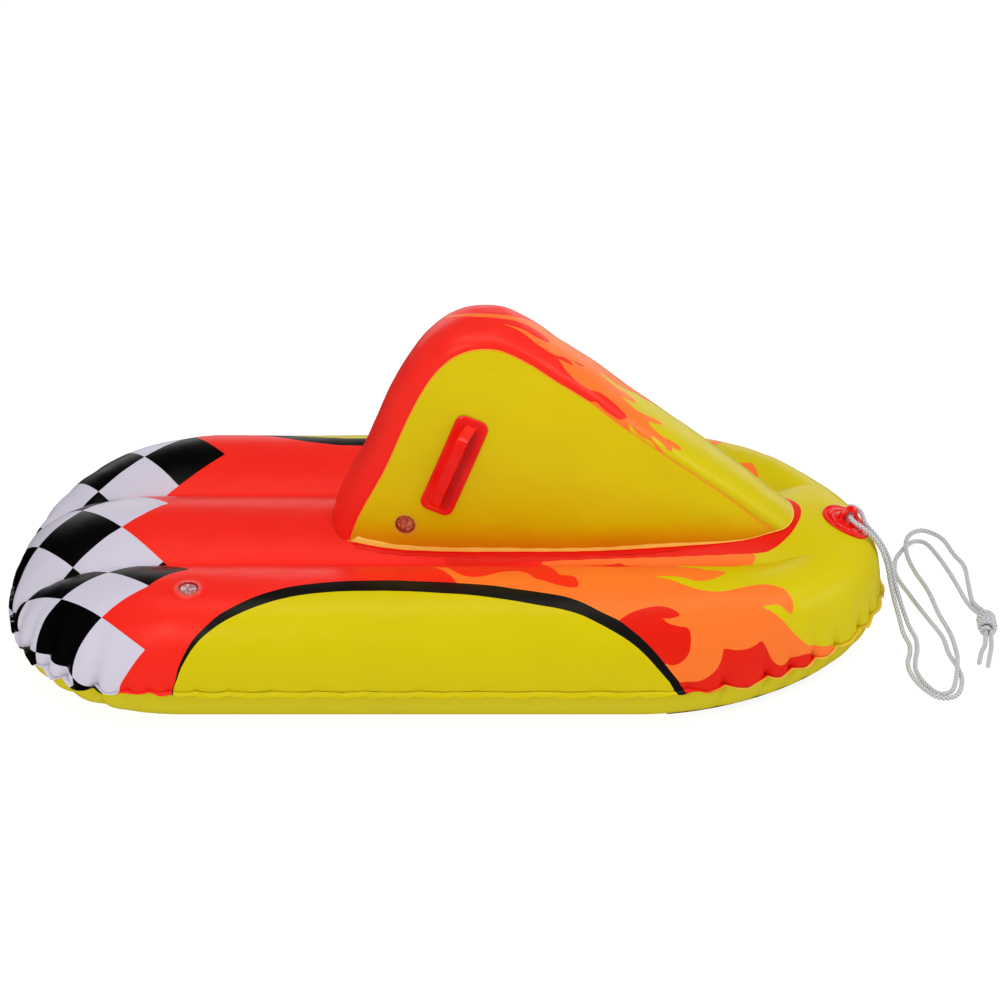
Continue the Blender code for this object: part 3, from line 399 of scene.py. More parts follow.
# %% [markdown]
# ## Tow rope
# A doubled white braided cord runs through the tow fitting, lies on the ground in a long loop
# and is tied off in one knot with two short tails. Each strand is a fixed length of cord:
# `lay_rope` reads its route as a smooth curve and sweeps a round section with a diamond braid
# along it.

# %% Rope routes
rope_radius = 0.0032
core_share = 0.94
rope_a_route = rows_from([
    5076, 160, 1564, 5076, 100, 1564, 5076, 0, 1564, 5084, -80, 1558, 5140, -135, 1525,
    5240, -155, 1462, 5350, -158, 1358, 5470, -150, 1180, 5560, -165, 950, 5615, -205, 700,
    5670, -270, 480, 5735, -370, 270, 5790, -490, 100, 5850, -625, 36, 5835, -850, 34,
    5790, -1040, 34, 5800, -1290, 34, 5920, -1620, 34, 6110, -1835, 34, 6310, -1790, 34,
    6420, -1480, 34, 6405, -1180, 34, 6330, -860, 34, 6290, -460, 34, 6150, -20, 34, 5995, 480, 34,
    5850, 1030, 34, 5880, 1380, 34, 6000, 1640, 34, 6165, 1850, 34, 6310, 1830, 34, 6440, 1520, 34,
    6575, 1000, 34, 6690, 400, 34, 6750, 180, 50, 6800, 10, 90, 6826, -100, 115,
], 3)
rope_b_route = rows_from([
    5076, 163, 1564, 5084, 225, 1558, 5150, 275, 1522, 5228, 230, 1482, 5256, 120, 1464,
    5270, 20, 1452, 5325, -50, 1400, 5420, -78, 1290, 5520, -82, 1130, 5605, -95, 935,
    5665, -140, 700, 5735, -195, 480, 5805, -250, 280, 5880, -325, 100, 5945, -480, 36,
    5940, -750, 34, 5895, -980, 34, 5875, -1230, 34, 5960, -1530, 34, 6110, -1745, 34,
    6260, -1700, 40, 6350, -1440, 78, 6400, -1120, 105, 6415, -900, 90, 6400, -395, 36,
    6311, 51, 34, 6225, 650, 34, 6110, 1091, 34, 6040, 1450, 70, 6055, 1745, 106, 6180, 2040, 60,
    6340, 2130, 34, 6545, 1944, 34, 6670, 1526, 34, 6768, 1239, 34, 6772, 869, 34, 6770, 400, 40,
    6800, 200, 80, 6850, 20, 125, 6892, -100, 135,
], 3)
tail_a_route = rows_from([
    6832, -460, 116, 6829, -510, 100, 6821, -570, 66, 6803, -670, 38, 6755, -780, 34,
    6710, -950, 34, 6680, -1080, 34,
], 3)
tail_b_route = rows_from([
    6900, -460, 116, 6899, -510, 100, 6896, -570, 66, 6886, -690, 38, 6850, -850, 34,
    6812, -1020, 34, 6785, -1150, 34,
], 3)
knot_centre = np.array([0.6868, -0.0300, 0.0136])
print("rope strand a passes", len(rope_a_route), "places")

# %% [markdown]
# A bevelled curve with a bump would do for a cord seen from far, but its outline would stay
# smooth. Here the plait is in the points: two sets of helices cross and the higher one shows.
# Crosswise directions are carried along the line without twisting, so the plait never spins.

# %% Rope sweep
sweep_step = 0.0011


def smooth_line(route, spacing):
    """Evenly spaced points on the smooth curve through a route, and its length."""
    points = np.array(route, float)
    run = lengths_along(points)
    fine = np.linspace(0, run[-1], 3000)
    curve = np.stack([spline(run, points[:, k], fine) for k in range(3)], 1)
    length = lengths_along(curve)
    at = np.linspace(0, length[-1], max(4, int(round(length[-1] / spacing)) + 1))
    return np.stack([np.interp(at, length, curve[:, k]) for k in range(3)], 1), float(length[-1])


def frames_along(line):
    """Two crosswise unit directions at each point, carried along the line without twisting."""
    heading = unit(np.gradient(line, axis=0))
    first = np.empty_like(line)
    side = np.cross(heading[0], (0.0, 0.0, 1.0))
    if np.linalg.norm(side) < 0.1:
        side = np.cross(heading[0], (1.0, 0.0, 0.0))
    for k, direction in enumerate(heading):
        side = unit(side - direction * (side @ direction))
        first[k] = side
    return first, np.cross(heading, first)


def braided(line, radius, around=20, plait=0.0052, strands=8, depth=0.045):
    """Points of a braided cord about a line, and the height of its weave.

    radius(s, t) = r (1 + depth (max(cos(n t / 2 + k s), cos(n t / 2 - k s)) - 0.4)), with s the
    length along, t the angle around, n the strands and k = 2 pi / plait. The last 0.9 r at each
    end is rounded off.
    """
    first, second = frames_along(line)
    length = lengths_along(line)[:, None]
    turn = angles(around)[None, :]
    one = np.cos(strands * turn / 2 + length * 2 * math.pi / plait)
    other = np.cos(strands * turn / 2 - length * 2 * math.pi / plait)
    weave_height = np.maximum(one, other)
    wide = radius * (1 + depth * (weave_height - 0.4))
    end = np.clip(np.minimum(length, length[-1] - length) / (radius * 0.9), 0, 1)
    wide = wide * np.sqrt(1 - (1 - end) ** 2 * 0.96)
    rings = line[:, None] + first[:, None] * (wide * np.cos(turn))[..., None]
    return rings + second[:, None] * (wide * np.sin(turn))[..., None], weave_height


straight = smooth_line([(0, 0, 0), (0, 0, 0.5), (0, 0, 1)], sweep_step)[0]
print("a straight metre of cord has", len(straight), "rings")

# %% [markdown]
# The grooves of the plait are painted a darker grey than its ridges, as painted shade, and
# fine fibres blur both. The braid gives its own height as the attribute `weave`, so colour and
# form always agree.

# %% Cord material
cord_shader = Shader("cord_white_braid")
fibre = cord_shader.noise(1400.0, 3.0, 0.7)
# Painted shade: the grooves of the plait are a darker grey than its ridges.
groove_shade_share = cord_shader.spread(cord_shader.attribute("weave"), -0.1, 0.8, 0.0, 1.0)
cord_tone_with_groove_shade = cord_shader.mix(groove_shade_share, srgb(150, 151, 155), srgb(220, 221, 224))
fuzz_share = cord_shader.spread(fibre, 0.45, 0.75, 0.0, 0.35)
cord_material = cord_shader.dress({
    "Base Color": cord_shader.mix(fuzz_share, cord_tone_with_groove_shade, srgb(188, 189, 192)),
    "Roughness": 0.72,
    "Sheen Weight": 0.10,
    "Subsurface Weight": 0.06,
    "Subsurface Scale": 0.001,
    "Normal": cord_shader.bump(fibre, 0.0002, 0.7),
})
print("cord material:", cord_material.name)


def cap_ends(item, columns, starts=(0,)):
    """Close both ends of swept pieces of a mesh with one face each; `starts` are their rows."""
    body = bmesh.new()
    body.from_mesh(item.data)
    body.verts.ensure_lookup_table()
    rows = len(body.verts) // columns
    for start, stop in zip(starts, (*starts[1:], rows)):
        for row, step in ((start, 1), (stop - 1, -1)):
            body.faces.new([body.verts[row * columns + k] for k in range(columns)][::step])
    body.normal_update()
    body.to_mesh(item.data)
    body.free()


def lay_rope(name, route):
    """One strand of cord along its route, resting on the ground where the route does."""
    line, length = smooth_line(route, sweep_step)
    line[:, 2] = np.maximum(line[:, 2], rope_radius * 1.045)
    rings, weave_height = braided(line, rope_radius * core_share)
    item = grid_mesh(name, rings, True, {"weave": weave_height}, loop_columns=True)
    cap_ends(item, rings.shape[1])
    return item, line, length

# %% [markdown]
# Both strands end in one overhand knot. A tied rope could be simulated, but for a knot of
# 44 mm the same bulk comes from two spirals wound about the strands, their ends diving in.

# %% Knot
core_offset = 0.0034
knot_cord_radius = 0.0029
knot_columns = 18


def knot_points():
    """Overhand knot of the doubled cord: turns wound about the two strands inside it.

    Each turn follows x = R cos a, z = 0.94 R sin a, y = p a about the knot's middle, and both
    its ends dive inward, where R falls from 9.7 to 3.4 mm.
    """
    turns = []
    share = np.linspace(0, 1, 230)
    angle = np.linspace(-0.6 * math.pi, 5.6 * math.pi, 230)
    dive = np.clip(np.minimum(share, 1 - share) / 0.16, 0, 1) ** 0.7
    reach = core_offset + 0.0063 * dive
    y = (share - 0.5) * 0.0370 + 0.0012 * np.sin(angle * 0.5)
    for start in (0, math.pi):
        x = reach * np.cos(angle + start)
        z = 0.94 * reach * np.sin(angle + start)
        turns.append(np.stack([x, y, z], 1) + knot_centre)
    for shift in (-core_offset, core_offset):
        core = np.array([[shift, 0.0215, 0.0], [shift * 0.8, 0.0, 0.0], [shift, -0.0225, -0.0016]])
        turns.append(smooth_line(core + knot_centre, sweep_step)[0])
    return turns


swept = [braided(line, knot_cord_radius, around=knot_columns) for line in knot_points()]
knot_rings = np.concatenate([rings for rings, _ in swept])
knot_starts = np.cumsum([0] + [len(rings) for rings, _ in swept])[:-1]
kept_quads = np.ones((len(knot_rings) - 1, knot_columns), dtype=bool)
kept_quads[knot_starts[1:] - 1] = False
knot_weave = {"weave": np.concatenate([weave_height for _, weave_height in swept])}
knot = grid_mesh("knot", knot_rings, True, knot_weave, loop_columns=True, keep=kept_quads)
cap_ends(knot, knot_columns, tuple(knot_starts))
knot.data.polygons.foreach_set("use_smooth", np.ones(len(knot.data.polygons), dtype=bool))
finish_piece(knot, cord_material, nodes=["rope_knot"])

# %% [markdown]
# The two strands and the two tails are swept along their routes, and each says how long its
# cord is, where it leaves the patch or the knot, and how it ends.

# %% Strands and tails
for name, route, node, far_end, pieces in (
    ("rope_a", rope_a_route, "rope_strand_a", "knot", [knot]),
    ("rope_b", rope_b_route, "rope_strand_b", "knot", []),
    ("rope_end_a", tail_a_route, "rope_tail_a", "bare", []),
    ("rope_end_b", tail_b_route, "rope_tail_b", "bare", []),
):
    strand, line, length = lay_rope(name, route)
    finish_piece(strand, cord_material, nodes=[node])
    print(name, "is", round(length, 3), "m long")
    places = [tuple(float(c) for c in point) for point in (*line[::6], line[-1])]

# %% [markdown]
# ## Hull form
# The hull is two welded sheets blown up against each other, with two inner webs that hold the
# top down along the creases. The top is three round lobes, tapered at both ends, and meets the
# lower sheet in a flat seam that runs round the whole sled.

# %% Hull form
hull_length = 1.100
hull_width = 0.504
seam_height = 0.0513
crest_rise = 0.1101
crease_depth = 0.029
rear_end_length = 0.206
rear_end_exponent = 2.2
nose_end_length = 0.301
nose_end_exponent = 1.78
rear_taper_length = 0.178
rear_taper_exponent = 1.95
nose_taper_length = 0.156
nose_taper_exponent = 3.1
side_exponent = 2.3
crease_fade = (0.370, 0.490)
bottom_side_inset = 0.054
bottom_nose_inset = 0.052
bottom_rear_inset = 0.088
sheet_thickness = 0.0006
gap = 0.0003
half_length = hull_length / 2
half_width = hull_width / 2
lobe_half_width = half_width / 3
lobe_radius = (lobe_half_width ** 2 + crease_depth ** 2) / (2 * crease_depth)
top_seam_height = seam_height + sheet_thickness + gap / 2
bottom_seam_height = seam_height - sheet_thickness - gap / 2
print("hull lobes have a radius of", round(lobe_radius, 4), "m")


def quarter(distance, reach, exponent):
    """Height share of a rounded edge: (1 - (1 - d / reach)^e)^(1 / e)."""
    t = np.clip(np.asarray(distance, float) / reach, 0.0, 1.0)
    return (1 - (1 - t) ** exponent) ** (1 / exponent)


def end_positions(y):
    """Where the rear and the nose outline stand at the crosswise place y."""
    share = np.clip(np.abs(np.asarray(y, float)) / half_width, 0.0, 1.0)
    rear = (1 - share ** rear_end_exponent) ** (1 / rear_end_exponent)
    nose = (1 - share ** nose_end_exponent) ** (1 / nose_end_exponent)
    return (
        -half_length + rear_end_length * (1 - rear),
        half_length - nose_end_length * (1 - nose),
    )


def deck_height(x, y):
    """Height of the top: seam + rise * lobes(y) * rear taper(x) * nose taper(x)."""
    x = np.asarray(x, float)
    y = np.asarray(y, float)
    rear, nose = end_positions(y)
    across = np.abs(y)
    off = np.where(across < lobe_half_width, across, np.abs(across - 2 * lobe_half_width))
    off = np.minimum(off, lobe_half_width)
    drop = lobe_radius - np.sqrt(lobe_radius ** 2 - off ** 2)
    crease = 1 - smoothstep(ramp(x, *crease_fade))
    lobes = 1 - drop * crease / crest_rise
    side = quarter(half_width - across, lobe_half_width, side_exponent)
    section = np.where(across < 2 * lobe_half_width, lobes, side)
    ends = quarter(x - rear, rear_taper_length, rear_taper_exponent)
    ends = ends * quarter(nose - x, nose_taper_length, nose_taper_exponent)
    return top_seam_height + crest_rise * section * ends

# %% [markdown]
# The seam is one closed line in plan. It is read at even lengths, so that everything that
# follows it, such as puckers, strip and lower sheet, is as fine at the corners as on the
# long sides.

# %% Seam outline
def even_loop(loop, count):
    """Evenly spaced points of a closed plan line whose last point is its first, and its length."""
    length = lengths_along(loop)
    at = np.linspace(0, length[-1], count, endpoint=False)
    return np.stack([np.interp(at, length, loop[:, k]) for k in (0, 1)], 1), float(length[-1])


def outward_of(loop):
    """Outward directions of an anticlockwise closed line in plan."""
    along = np.roll(loop, -1, 0) - np.roll(loop, 1, 0)
    return unit(np.stack([along[:, 1], -along[:, 0]], 1))


def outline_loop(count):
    """Plan outline of the seam, anticlockwise from the nose tip, and its length."""
    turn = np.linspace(0, math.pi / 2, 400)
    cosine = np.cos(turn)
    sine = np.sin(turn)
    nose_x = half_length - nose_end_length * (1 - cosine ** (2 / nose_end_exponent))
    nose_y = half_width * sine ** (2 / nose_end_exponent)
    rear_x = -half_length + rear_end_length * (1 - cosine[::-1] ** (2 / rear_end_exponent))
    rear_y = half_width * sine[::-1] ** (2 / rear_end_exponent)
    half = np.stack([np.concatenate([nose_x, rear_x]), np.concatenate([nose_y, rear_y])], 1)
    loop = np.concatenate([half, half[::-1][1:-1] * np.array([1, -1]), half[:1]])
    return even_loop(loop, count)


outline, perimeter = outline_loop(1400)
outline_out = outward_of(outline)
print("seam runs", round(perimeter, 3), "m round the hull")

# %% [markdown]
# ## Puckers along the seam
# A flat sheet can't follow a seam that turns a corner, so the weld gathers it: the seam rises in
# sharp cusps with a sag between them, and a valley runs up the lobe from each cusp. The cusps
# stand about 30 mm apart round the nose, closer and taller at the rear corners, and fade to a
# faint ripple along the straight sides. Places are lengths along the seam from the nose tip,
# first down the near side and then back up the far one.

# %% Pucker list
near_cusps = rows_from([
    # place, lift at the seam, depth of the valley, how far it runs up
    0, 22, 22, 200, 360, 24, 24, 220, 720, 30, 30, 260, 1080, 34, 34, 260, 1600, 36, 32, 240,
    2000, 56, 40, 300, 2380, 48, 38, 280, 2740, 62, 42, 320, 3330, 66, 40, 300, 3800, 22, 14, 160,
    4250, 10, 6, 100, 4850, 9, 5, 100, 5600, 8, 4, 100, 6350, 8, 5, 100, 7050, 9, 5, 100,
    7700, 8, 5, 100, 8300, 9, 6, 100, 8850, 11, 7, 120, 9350, 12, 8, 120, 9750, 13, 10, 140,
    10080, 16, 12, 160, 10320, 18, 14, 180, 10590, 24, 22, 240, 11010, 78, 50, 460,
    11480, 62, 46, 400, 11820, 58, 46, 440, 12310, 52, 42, 360, 12710, 34, 32, 300,
    13080, 28, 28, 260, 13480, 26, 26, 240,
], 4)

print(len(near_cusps), "cusps on the near side")

# %% [markdown]
# Cloth simulation could gather the weld, but the cusps would land at chance places. A list
# of cusps puts each one where it is seen, and the sheet between them follows from it.

# %% Puckers
def both_sides(cusps):
    """The near side's cusps and, for the far side, their mirror image moved about a little."""
    random = np.random.default_rng(7)
    table = [list(row) for row in cusps]
    for place, lift, depth, reach in cusps[1:]:
        moved = perimeter - place + random.uniform(-0.006, 0.006)
        lift = lift * random.uniform(0.8, 1.15)
        table.append([moved, lift, depth * random.uniform(0.85, 1.15), reach])
    table = np.array(sorted(table))
    table[0, 0] = 0.0
    return np.concatenate([table, table[:1] + np.array([[perimeter, 0, 0, 0]])])


cusp_table = both_sides(near_cusps)


def seam_state(place):
    """Lift, sag share and valley values of the seam at lengths along it.

    Between two cusps, t runs 0..1 and the sag is 1 - |2 t - 1|^1.35: 0 at each cusp with a sharp
    turn, 1 halfway.
    """
    places = cusp_table[:, 0]
    k = np.clip(np.searchsorted(places, place, side="right") - 1, 0, len(places) - 2)
    t = (place - places[k]) / (places[k + 1] - places[k])
    sag = 1 - np.abs(2 * t - 1) ** 1.35
    blend = smoothstep(t)[..., None]
    row = cusp_table[k] * (1 - blend) + cusp_table[k + 1] * blend
    lift = row[..., 1] * (0.55 - sag)
    to_cusp = np.minimum(place - places[k], places[k + 1] - place)
    return lift, sag, row[..., 2], row[..., 3], to_cusp


def side_raise(place):
    """How much higher the seam runs along the straight sides: up to 7.6 mm, eased in and out."""
    near = np.minimum(place, perimeter - place)
    return 0.0076 * smoothstep(ramp(near, 0.30, 0.39) * ramp(near, 1.13, 1.03))

# %% [markdown]
# Every point of a sheet looks up its nearest place on the seam and is moved by what the seam
# does there. The move fades with the distance, so the top of the lobes stays round.

# %% Gathers
def nearest_on_seam(xy):
    """Place along the seam (from the nose, near side first), distance and outward direction.

    Plan points are taken in chunks; each tries the eight seam steps about its nearest corner.
    """
    flat = xy.reshape(-1, 2)
    place = np.empty(len(flat))
    away = np.empty(len(flat))
    out = np.empty((len(flat), 2))
    step = perimeter / len(outline)
    ahead = np.roll(outline, -1, 0) - outline
    chunk_size = 20000
    for start in range(0, len(flat), chunk_size):
        chunk = slice(start, start + chunk_size)
        part = flat[chunk]
        gaps = ((part[:, None, :] - outline[None, ::4]) ** 2).sum(-1)
        near = gaps.argmin(1) * 4
        best = np.full(len(part), 1e9)
        for shift in range(-4, 4):
            k = (near + shift) % len(outline)
            offset = part - outline[k]
            share = np.clip((offset * ahead[k]).sum(1) / (ahead[k] ** 2).sum(1), 0, 1)
            gap_now = np.linalg.norm(offset - ahead[k] * share[:, None], axis=1)
            better = gap_now < best
            best = np.where(better, gap_now, best)
            place[chunk] = np.where(better, perimeter - (k + share) * step, place[chunk])
            share = share[:, None]
            turned = outline_out[k] * (1 - share) + outline_out[(k + 1) % len(outline)] * share
            out[chunk] = np.where(better[:, None], turned, out[chunk])
        away[chunk] = best
    shape = xy.shape[:-1]
    return (place % perimeter).reshape(shape), away.reshape(shape), out.reshape(*shape, 2)


lift_fade = 0.014
raise_fade = 0.020
valley_width = 0.0042
valley_spread = 0.16


def gather(points, normal, upper=True):
    """Points of a hull sheet drawn into the puckers of its seam.

    With h the distance from the seam: the seam's own lift fades as exp(-h / 14 mm) and its raise
    on the long sides as exp(-h / 20 mm). The valley at a cusp is
    -depth exp(-(d / w)^2) exp(-(h / reach)^1.3) along the normal, with w growing from 4.2 mm at
    the seam, and the sheet between cusps is blown out by a part of the depth.
    """
    place, away, out = nearest_on_seam(points[..., :2])
    height = np.abs(points[..., 2] - seam_height)
    h = np.hypot(away, height)
    lift, sag, depth, reach, to_cusp = seam_state(place)
    close = np.exp(-h / lift_fade)
    width = valley_width + valley_spread * h
    if not upper:
        reach = reach * 0.8
        depth = depth * 0.8
    fade = np.exp(-(h / reach) ** 1.3)
    push = depth * fade * (0.65 * sag - 1.25 * bell(to_cusp, width))
    moved = points + normal * push[..., None]
    moved[..., 2] += lift * close + side_raise(place) * np.exp(-h / raise_fade)
    moved[..., :2] += out * (lift * -0.35 * close)[..., None]
    return moved, h


print(len(cusp_table), "cusps; tallest", round(float(cusp_table[:, 1].max()) * 1000, 1), "mm")

# %% [markdown]
# ## Printed pattern
# The print is drawn on the flat sheet: `a` is the length along the sheet from the middle of the
# sled and `v` the length across it from the middle line. Each printed shape is a closed outline
# of smooth runs that meet in sharp tips; a vertex keeps its signed distance to the outline, and
# the shader paints where that is above zero, so edges stay crisp between grid points. A run
# lists a, v, a, v and so on in tenths of a millimetre. The runs of the console's outlines list
# the length along its band, and the place across it as a ten-thousandth of its half width.

# %% Print outlines
arc_outline = [
    [-3300, -3450, -3288, -3231, -3270, -3162, -3228, -2942, -3174, -2818, -3111, -2716,
     -3034, -2613, -2940, -2525, -2825, -2426, -2707, -2324, -2589, -2251, -2353, -2112,
     -2117, -2002, -1879, -1904, -1640, -1836, -1399, -1795, -1109, -1773, -769, -1757,
     -364, -1785, 132, -1824, 536, -1878, 875, -1957, 1374, -2059, 1622, -2150, 1874, -2289,
     2113, -2412, 2233, -2506, 2353, -2598, 2475, -2700, 2600, -2812, 2732, -2928, 2818, -2978],
    [2818, -2978, 2945, -2994, 3068, -2970, 3124, -3021, 3180, -3120],
    [3180, -3120, 3300, -4000, -3300, -4000, -3300, -3450],
]

side_outline = [
    [-3284, -3450, -3275, -3230, -3240, -3090, -3196, -2947, -3125, -2825, -3055, -2728,
     -2945, -2617, -2818, -2524, -2704, -2446, -2585, -2375, -2347, -2258, -2109, -2164,
     -1871, -2090, -1631, -2035, -1348, -2000, -978, -1979, -577, -1984, -143, -2015, 258, -2048,
     598, -2102, 874, -2157, 1183, -2219, 1428, -2268, 1648, -2339, 1872, -2450, 2112, -2585,
     2233, -2662, 2354, -2749, 2478, -2854, 2605, -2969, 2690, -3035],
    [2690, -3035, 2780, -3076, 2900, -3066, 2992, -3095, 3050, -3180],
    [3050, -3180, 3150, -4000, -3284, -4000, -3284, -3450],
]

stripe_outline = [
    [1232, -839, 1735, -817, 2306, -796, 2878, -779, 3449, -754, 3734, -742, 3933, -747,
     4054, -720, 4177, -622, 4303, -463, 4416, -204, 4463, 0, 4446, 194, 4360, 330, 4280, 390,
     4050, 580, 3850, 700, 3450, 755, 2310, 800, 1160, 840, 600, 905],
    [600, 905, 0, 905, 0, -905, 600, -905, 1160, -845],
]

flame_outline = [
    [-269, -1176, -185, -1280, -75, -1314, 14, -1339, 93, -1487, 171, -1594, 258, -1659,
     368, -1679, 476, -1659, 563, -1607, 673, -1535, 760, -1495, 847, -1480, 924, -1503,
     999, -1566, 1042, -1634, 1108, -1721, 1215, -1775, 1321, -1842, 1460, -1901, 1541, -1923,
     1613, -1901],
    [1613, -1901, 1623, -1826, 1589, -1687, 1520, -1622, 1409, -1607, 1350, -1468, 1287, -1314,
     1235, -1189],
    [1170, -905, 1130, -840, 1200, -700, 3700, -660],
    [3819, -753, 3847, -788, 3802, -878, 3744, -889],
    [3744, -889, 3560, -1294, 3337, -1249, 3008, -1231, 2732, -1189],
    [2732, -1189, 2964, -1339, 3130, -1397, 3169, -1464, 3300, -1475, 3440, -1540],
    [3440, -1540, 3350, -1671, 3236, -1749, 3136, -1786, 3039, -1782, 2921, -1713, 2740, -1668,
     2545, -1672],
    [2545, -1675, 2677, -1729, 2796, -1787, 2913, -1872, 3032, -1941, 3151, -1972, 3272, -1983,
     3395, -1965, 3519, -1920, 3644, -1865, 3770, -1811, 3897, -1768, 4000, -1756, 4135, -1763,
     4237, -1823, 4298, -1879, 4316, -1933, 4291, -1963],
    [4291, -1963, 4229, -1971, 4167, -1967, 4093, -1963, 3967, -2013, 3840, -2067],
    [3840, -2067, 3977, -2058, 4172, -2049, 4386, -2032, 4641, -1979, 4913, -1896, 5127, -1795,
     5289, -1682, 5437, -1585],
    [5450, -1600, 6000, -1600, 6000, -4000],
    [2850, -4000, 2780, -3060, 2000, -2450],
    [1400, -2180, 800, -2040, 160, -1920],
    [136, -1803, 95, -1708, 52, -1622, -16, -1503, -94, -1387, -174, -1280, -269, -1176],
]

blob_outline = [
    [2101, -2403, 2235, -2312, 2356, -2264, 2478, -2230, 2599, -2216, 2719, -2239, 2791, -2276,
     2851, -2322],
    [2851, -2322, 2778, -2356, 2693, -2372, 2609, -2369],
    [2609, -2369, 2657, -2403, 2717, -2434, 2839, -2452, 2935, -2457, 2970, -2503, 2979, -2578,
     2973, -2663, 2946, -2726, 2893, -2787, 2818, -2841, 2754, -2868, 2703, -2869, 2665, -2860],
    [2620, -2920, 2350, -2670, 2050, -2440],
]

low_red_outline = [
    [3427, -2518, 3609, -2465, 3790, -2391, 3918, -2320, 3983, -2268],
    [3983, -2268, 4108, -2255, 4260, -2242, 4459, -2210, 4630, -2151, 4751, -2082, 4817, -2031,
     4938, -1943, 5197, -1818],
    [5350, -1850, 6000, -1900, 6000, -4000, 2850, -4000, 2790, -3050],
    [2906, -2985, 3068, -2906, 3223, -2825, 3365, -2720, 3449, -2629, 3447, -2572, 3427, -2518],
]

nose_outline = [
    [1900, -600, 1600, -1000, 2000, -2000, 3000, -2350, 3300, -2900, 4200, -2350, 5200, -1900,
     6000, -1700, 7000, -1700, 7000, 1700, 6000, 1700, 5000, 1900, 3300, 2900, 3000, 2350,
     2000, 2000, 1600, 1000, 1900, 600],
]

# A dark red lens along the near crease, drawn in the marks' red: painted shade of the fold, not
# print.
crease_shade_outline = [
    [1667, -1176, 1909, -891, 2046, -880, 2220, -882, 2406, -1189],
    [2406, -1189, 2083, -1280, 1667, -1176],
]

far_lick_outline = [
    [2700, 1300, 3050, 1500, 3400, 1420, 3753, 1425, 3928, 1439],
    [3928, 1439, 4000, 1183, 3850, 1000, 3500, 930, 2700, 900],
]

print("flames on the hull:", len(flame_outline), "runs")

# %% [markdown]
# The flames on the console run down the crowned band, so their outlines are written along
# the band and across it.

# %% Console outlines
console_orange_outline = [
    [3613, 1263, 3555, 942, 3461, 461, 3319, 261, 3175, 701, 3081, 1303, 2972, 2345, 2903, 2826],
    [2929, 2104, 3009, 1142, 3129, -100, 3271, -822, 3388, -862, 3481, -701, 3578, -220, 3675, 100,
     3767, 341, 3836, 261, 3924, 301, 3989, 140, 4031, -341, 4044, -1102],
    [4044, -1102, 3979, -1623, 3898, -1824, 3809, -1864, 3740, -1623, 3652, -1743, 3558, -2064,
     3484, -2265, 3421, -2425],
    [3421, -2425, 3510, -2425, 3581, -2345, 3678, -2505, 3777, -2946, 3891, -3507, 4018, -3587,
     4122, -3307, 4207, -2866],
    [4207, -2866, 4282, -2265, 4360, -2224, 4442, -2745],
    [4442, -2745, 4367, -3186, 4276, -3387, 4194, -3587],
    [4194, -3587, 4250, -4108, 4341, -5110, 4445, -5992, 4575, -6553, 4728, -6473, 4800, -5792,
     4943, -5230, 5093, -5230, 5201, -5591, 5276, -5952, 5308, -6313],
    [5308, -6313, 5302, -7114, 5259, -8236, 5207, -8838, 5113, -9038, 5015, -9198, 4946, -9078,
     4888, -8677, 4800, -9559],
    [4800, -9559, 4878, -10000, 4986, -10000],
    [4990, -10000, 5050, -10600, 9000, -10600, 9000, 10600, 5200, 10600],
    [5200, 10600, 5050, 8600, 4700, 8000, 4550, 7000, 4300, 6200, 4000, 5000, 3800, 3000,
     3610, 1260],
]

console_yellow_outline = [
    [4807, 261, 4894, 180, 5025, 261, 5165, 782, 5311, 1703, 5461, 2625, 5555, 2305],
    [5560, 2300, 5720, 3600, 5900, 5000],
    [5900, 5000, 5650, 4700, 5450, 6000],
    [5450, 6000, 5750, 7000, 6040, 7600],
    [6040, 7600, 5850, 8000, 5750, 8600, 6000, 10600],
    [6000, 10600, 9000, 10600, 9000, -10600, 6020, -10600, 5980, -10000],
    [5976, -9800, 5924, -9118, 5845, -8517, 5770, -7956, 5709, -7194],
    [5709, -7194, 5767, -6914, 5849, -7114, 5920, -7515, 5995, -8076, 6054, -7275, 6011, -6393],
    [6011, -6393, 6057, -6232, 6119, -6072, 6158, -5551],
    [6158, -5551, 6135, -4910, 6051, -4749, 5956, -4870, 5849, -5190, 5735, -4790, 5650, -4349,
     5614, -3747],
    [5614, -3747, 5705, -3186, 5797, -2545, 5858, -1824],
    [5858, -1824, 5764, -1904, 5666, -2064, 5539, -2585, 5442, -2745, 5354, -2625, 5249, -2184,
     5145, -1944],
    [5145, -1944, 5246, -1623, 5331, -1423, 5406, -1263],
    [5406, -1263, 5402, -501, 5334, -100, 5230, 60, 5090, -421, 4960, -461, 4836, -100, 4807, 261],
]

console_lick_outline = [
    [5367, -7756, 5422, -8156, 5503, -8838, 5578, -9238, 5676, -8758, 5754, -8637, 5842, -9679],
    [5840, -9680, 5860, -10600, 5520, -10600, 5450, -9700],
]

console_sliver_outline = [
    [4419, -1543, 4481, -1383, 4572, -1182, 4578, -1463, 4526, -1784, 4451, -1743, 4419, -1543],
]

print("flames on the console:", len(console_orange_outline), "runs")

# %% [markdown]
# An image texture would blur at its own pixel size. A signed distance to a smooth outline
# is stored in each point instead, and stays sharp at any distance from the camera.

# %% Signed distances
def smooth_outline(runs):
    """Closed outline from runs of points, smoothed inside each run and sharp between runs."""
    pieces = []
    for run in runs:
        points = rows_from(run)
        if len(points) > 3:
            length = lengths_along(points)
            at = np.linspace(0, length[-1], 3 * (len(points) - 1) + 1)
            points = np.stack([spline(length, points[:, k], at) for k in (0, 1)], 1)
        pieces.append(points)
    loop = np.concatenate(pieces)
    keep = np.concatenate([[True], np.linalg.norm(np.diff(loop, axis=0), axis=1) > 1e-6])
    return loop[keep]


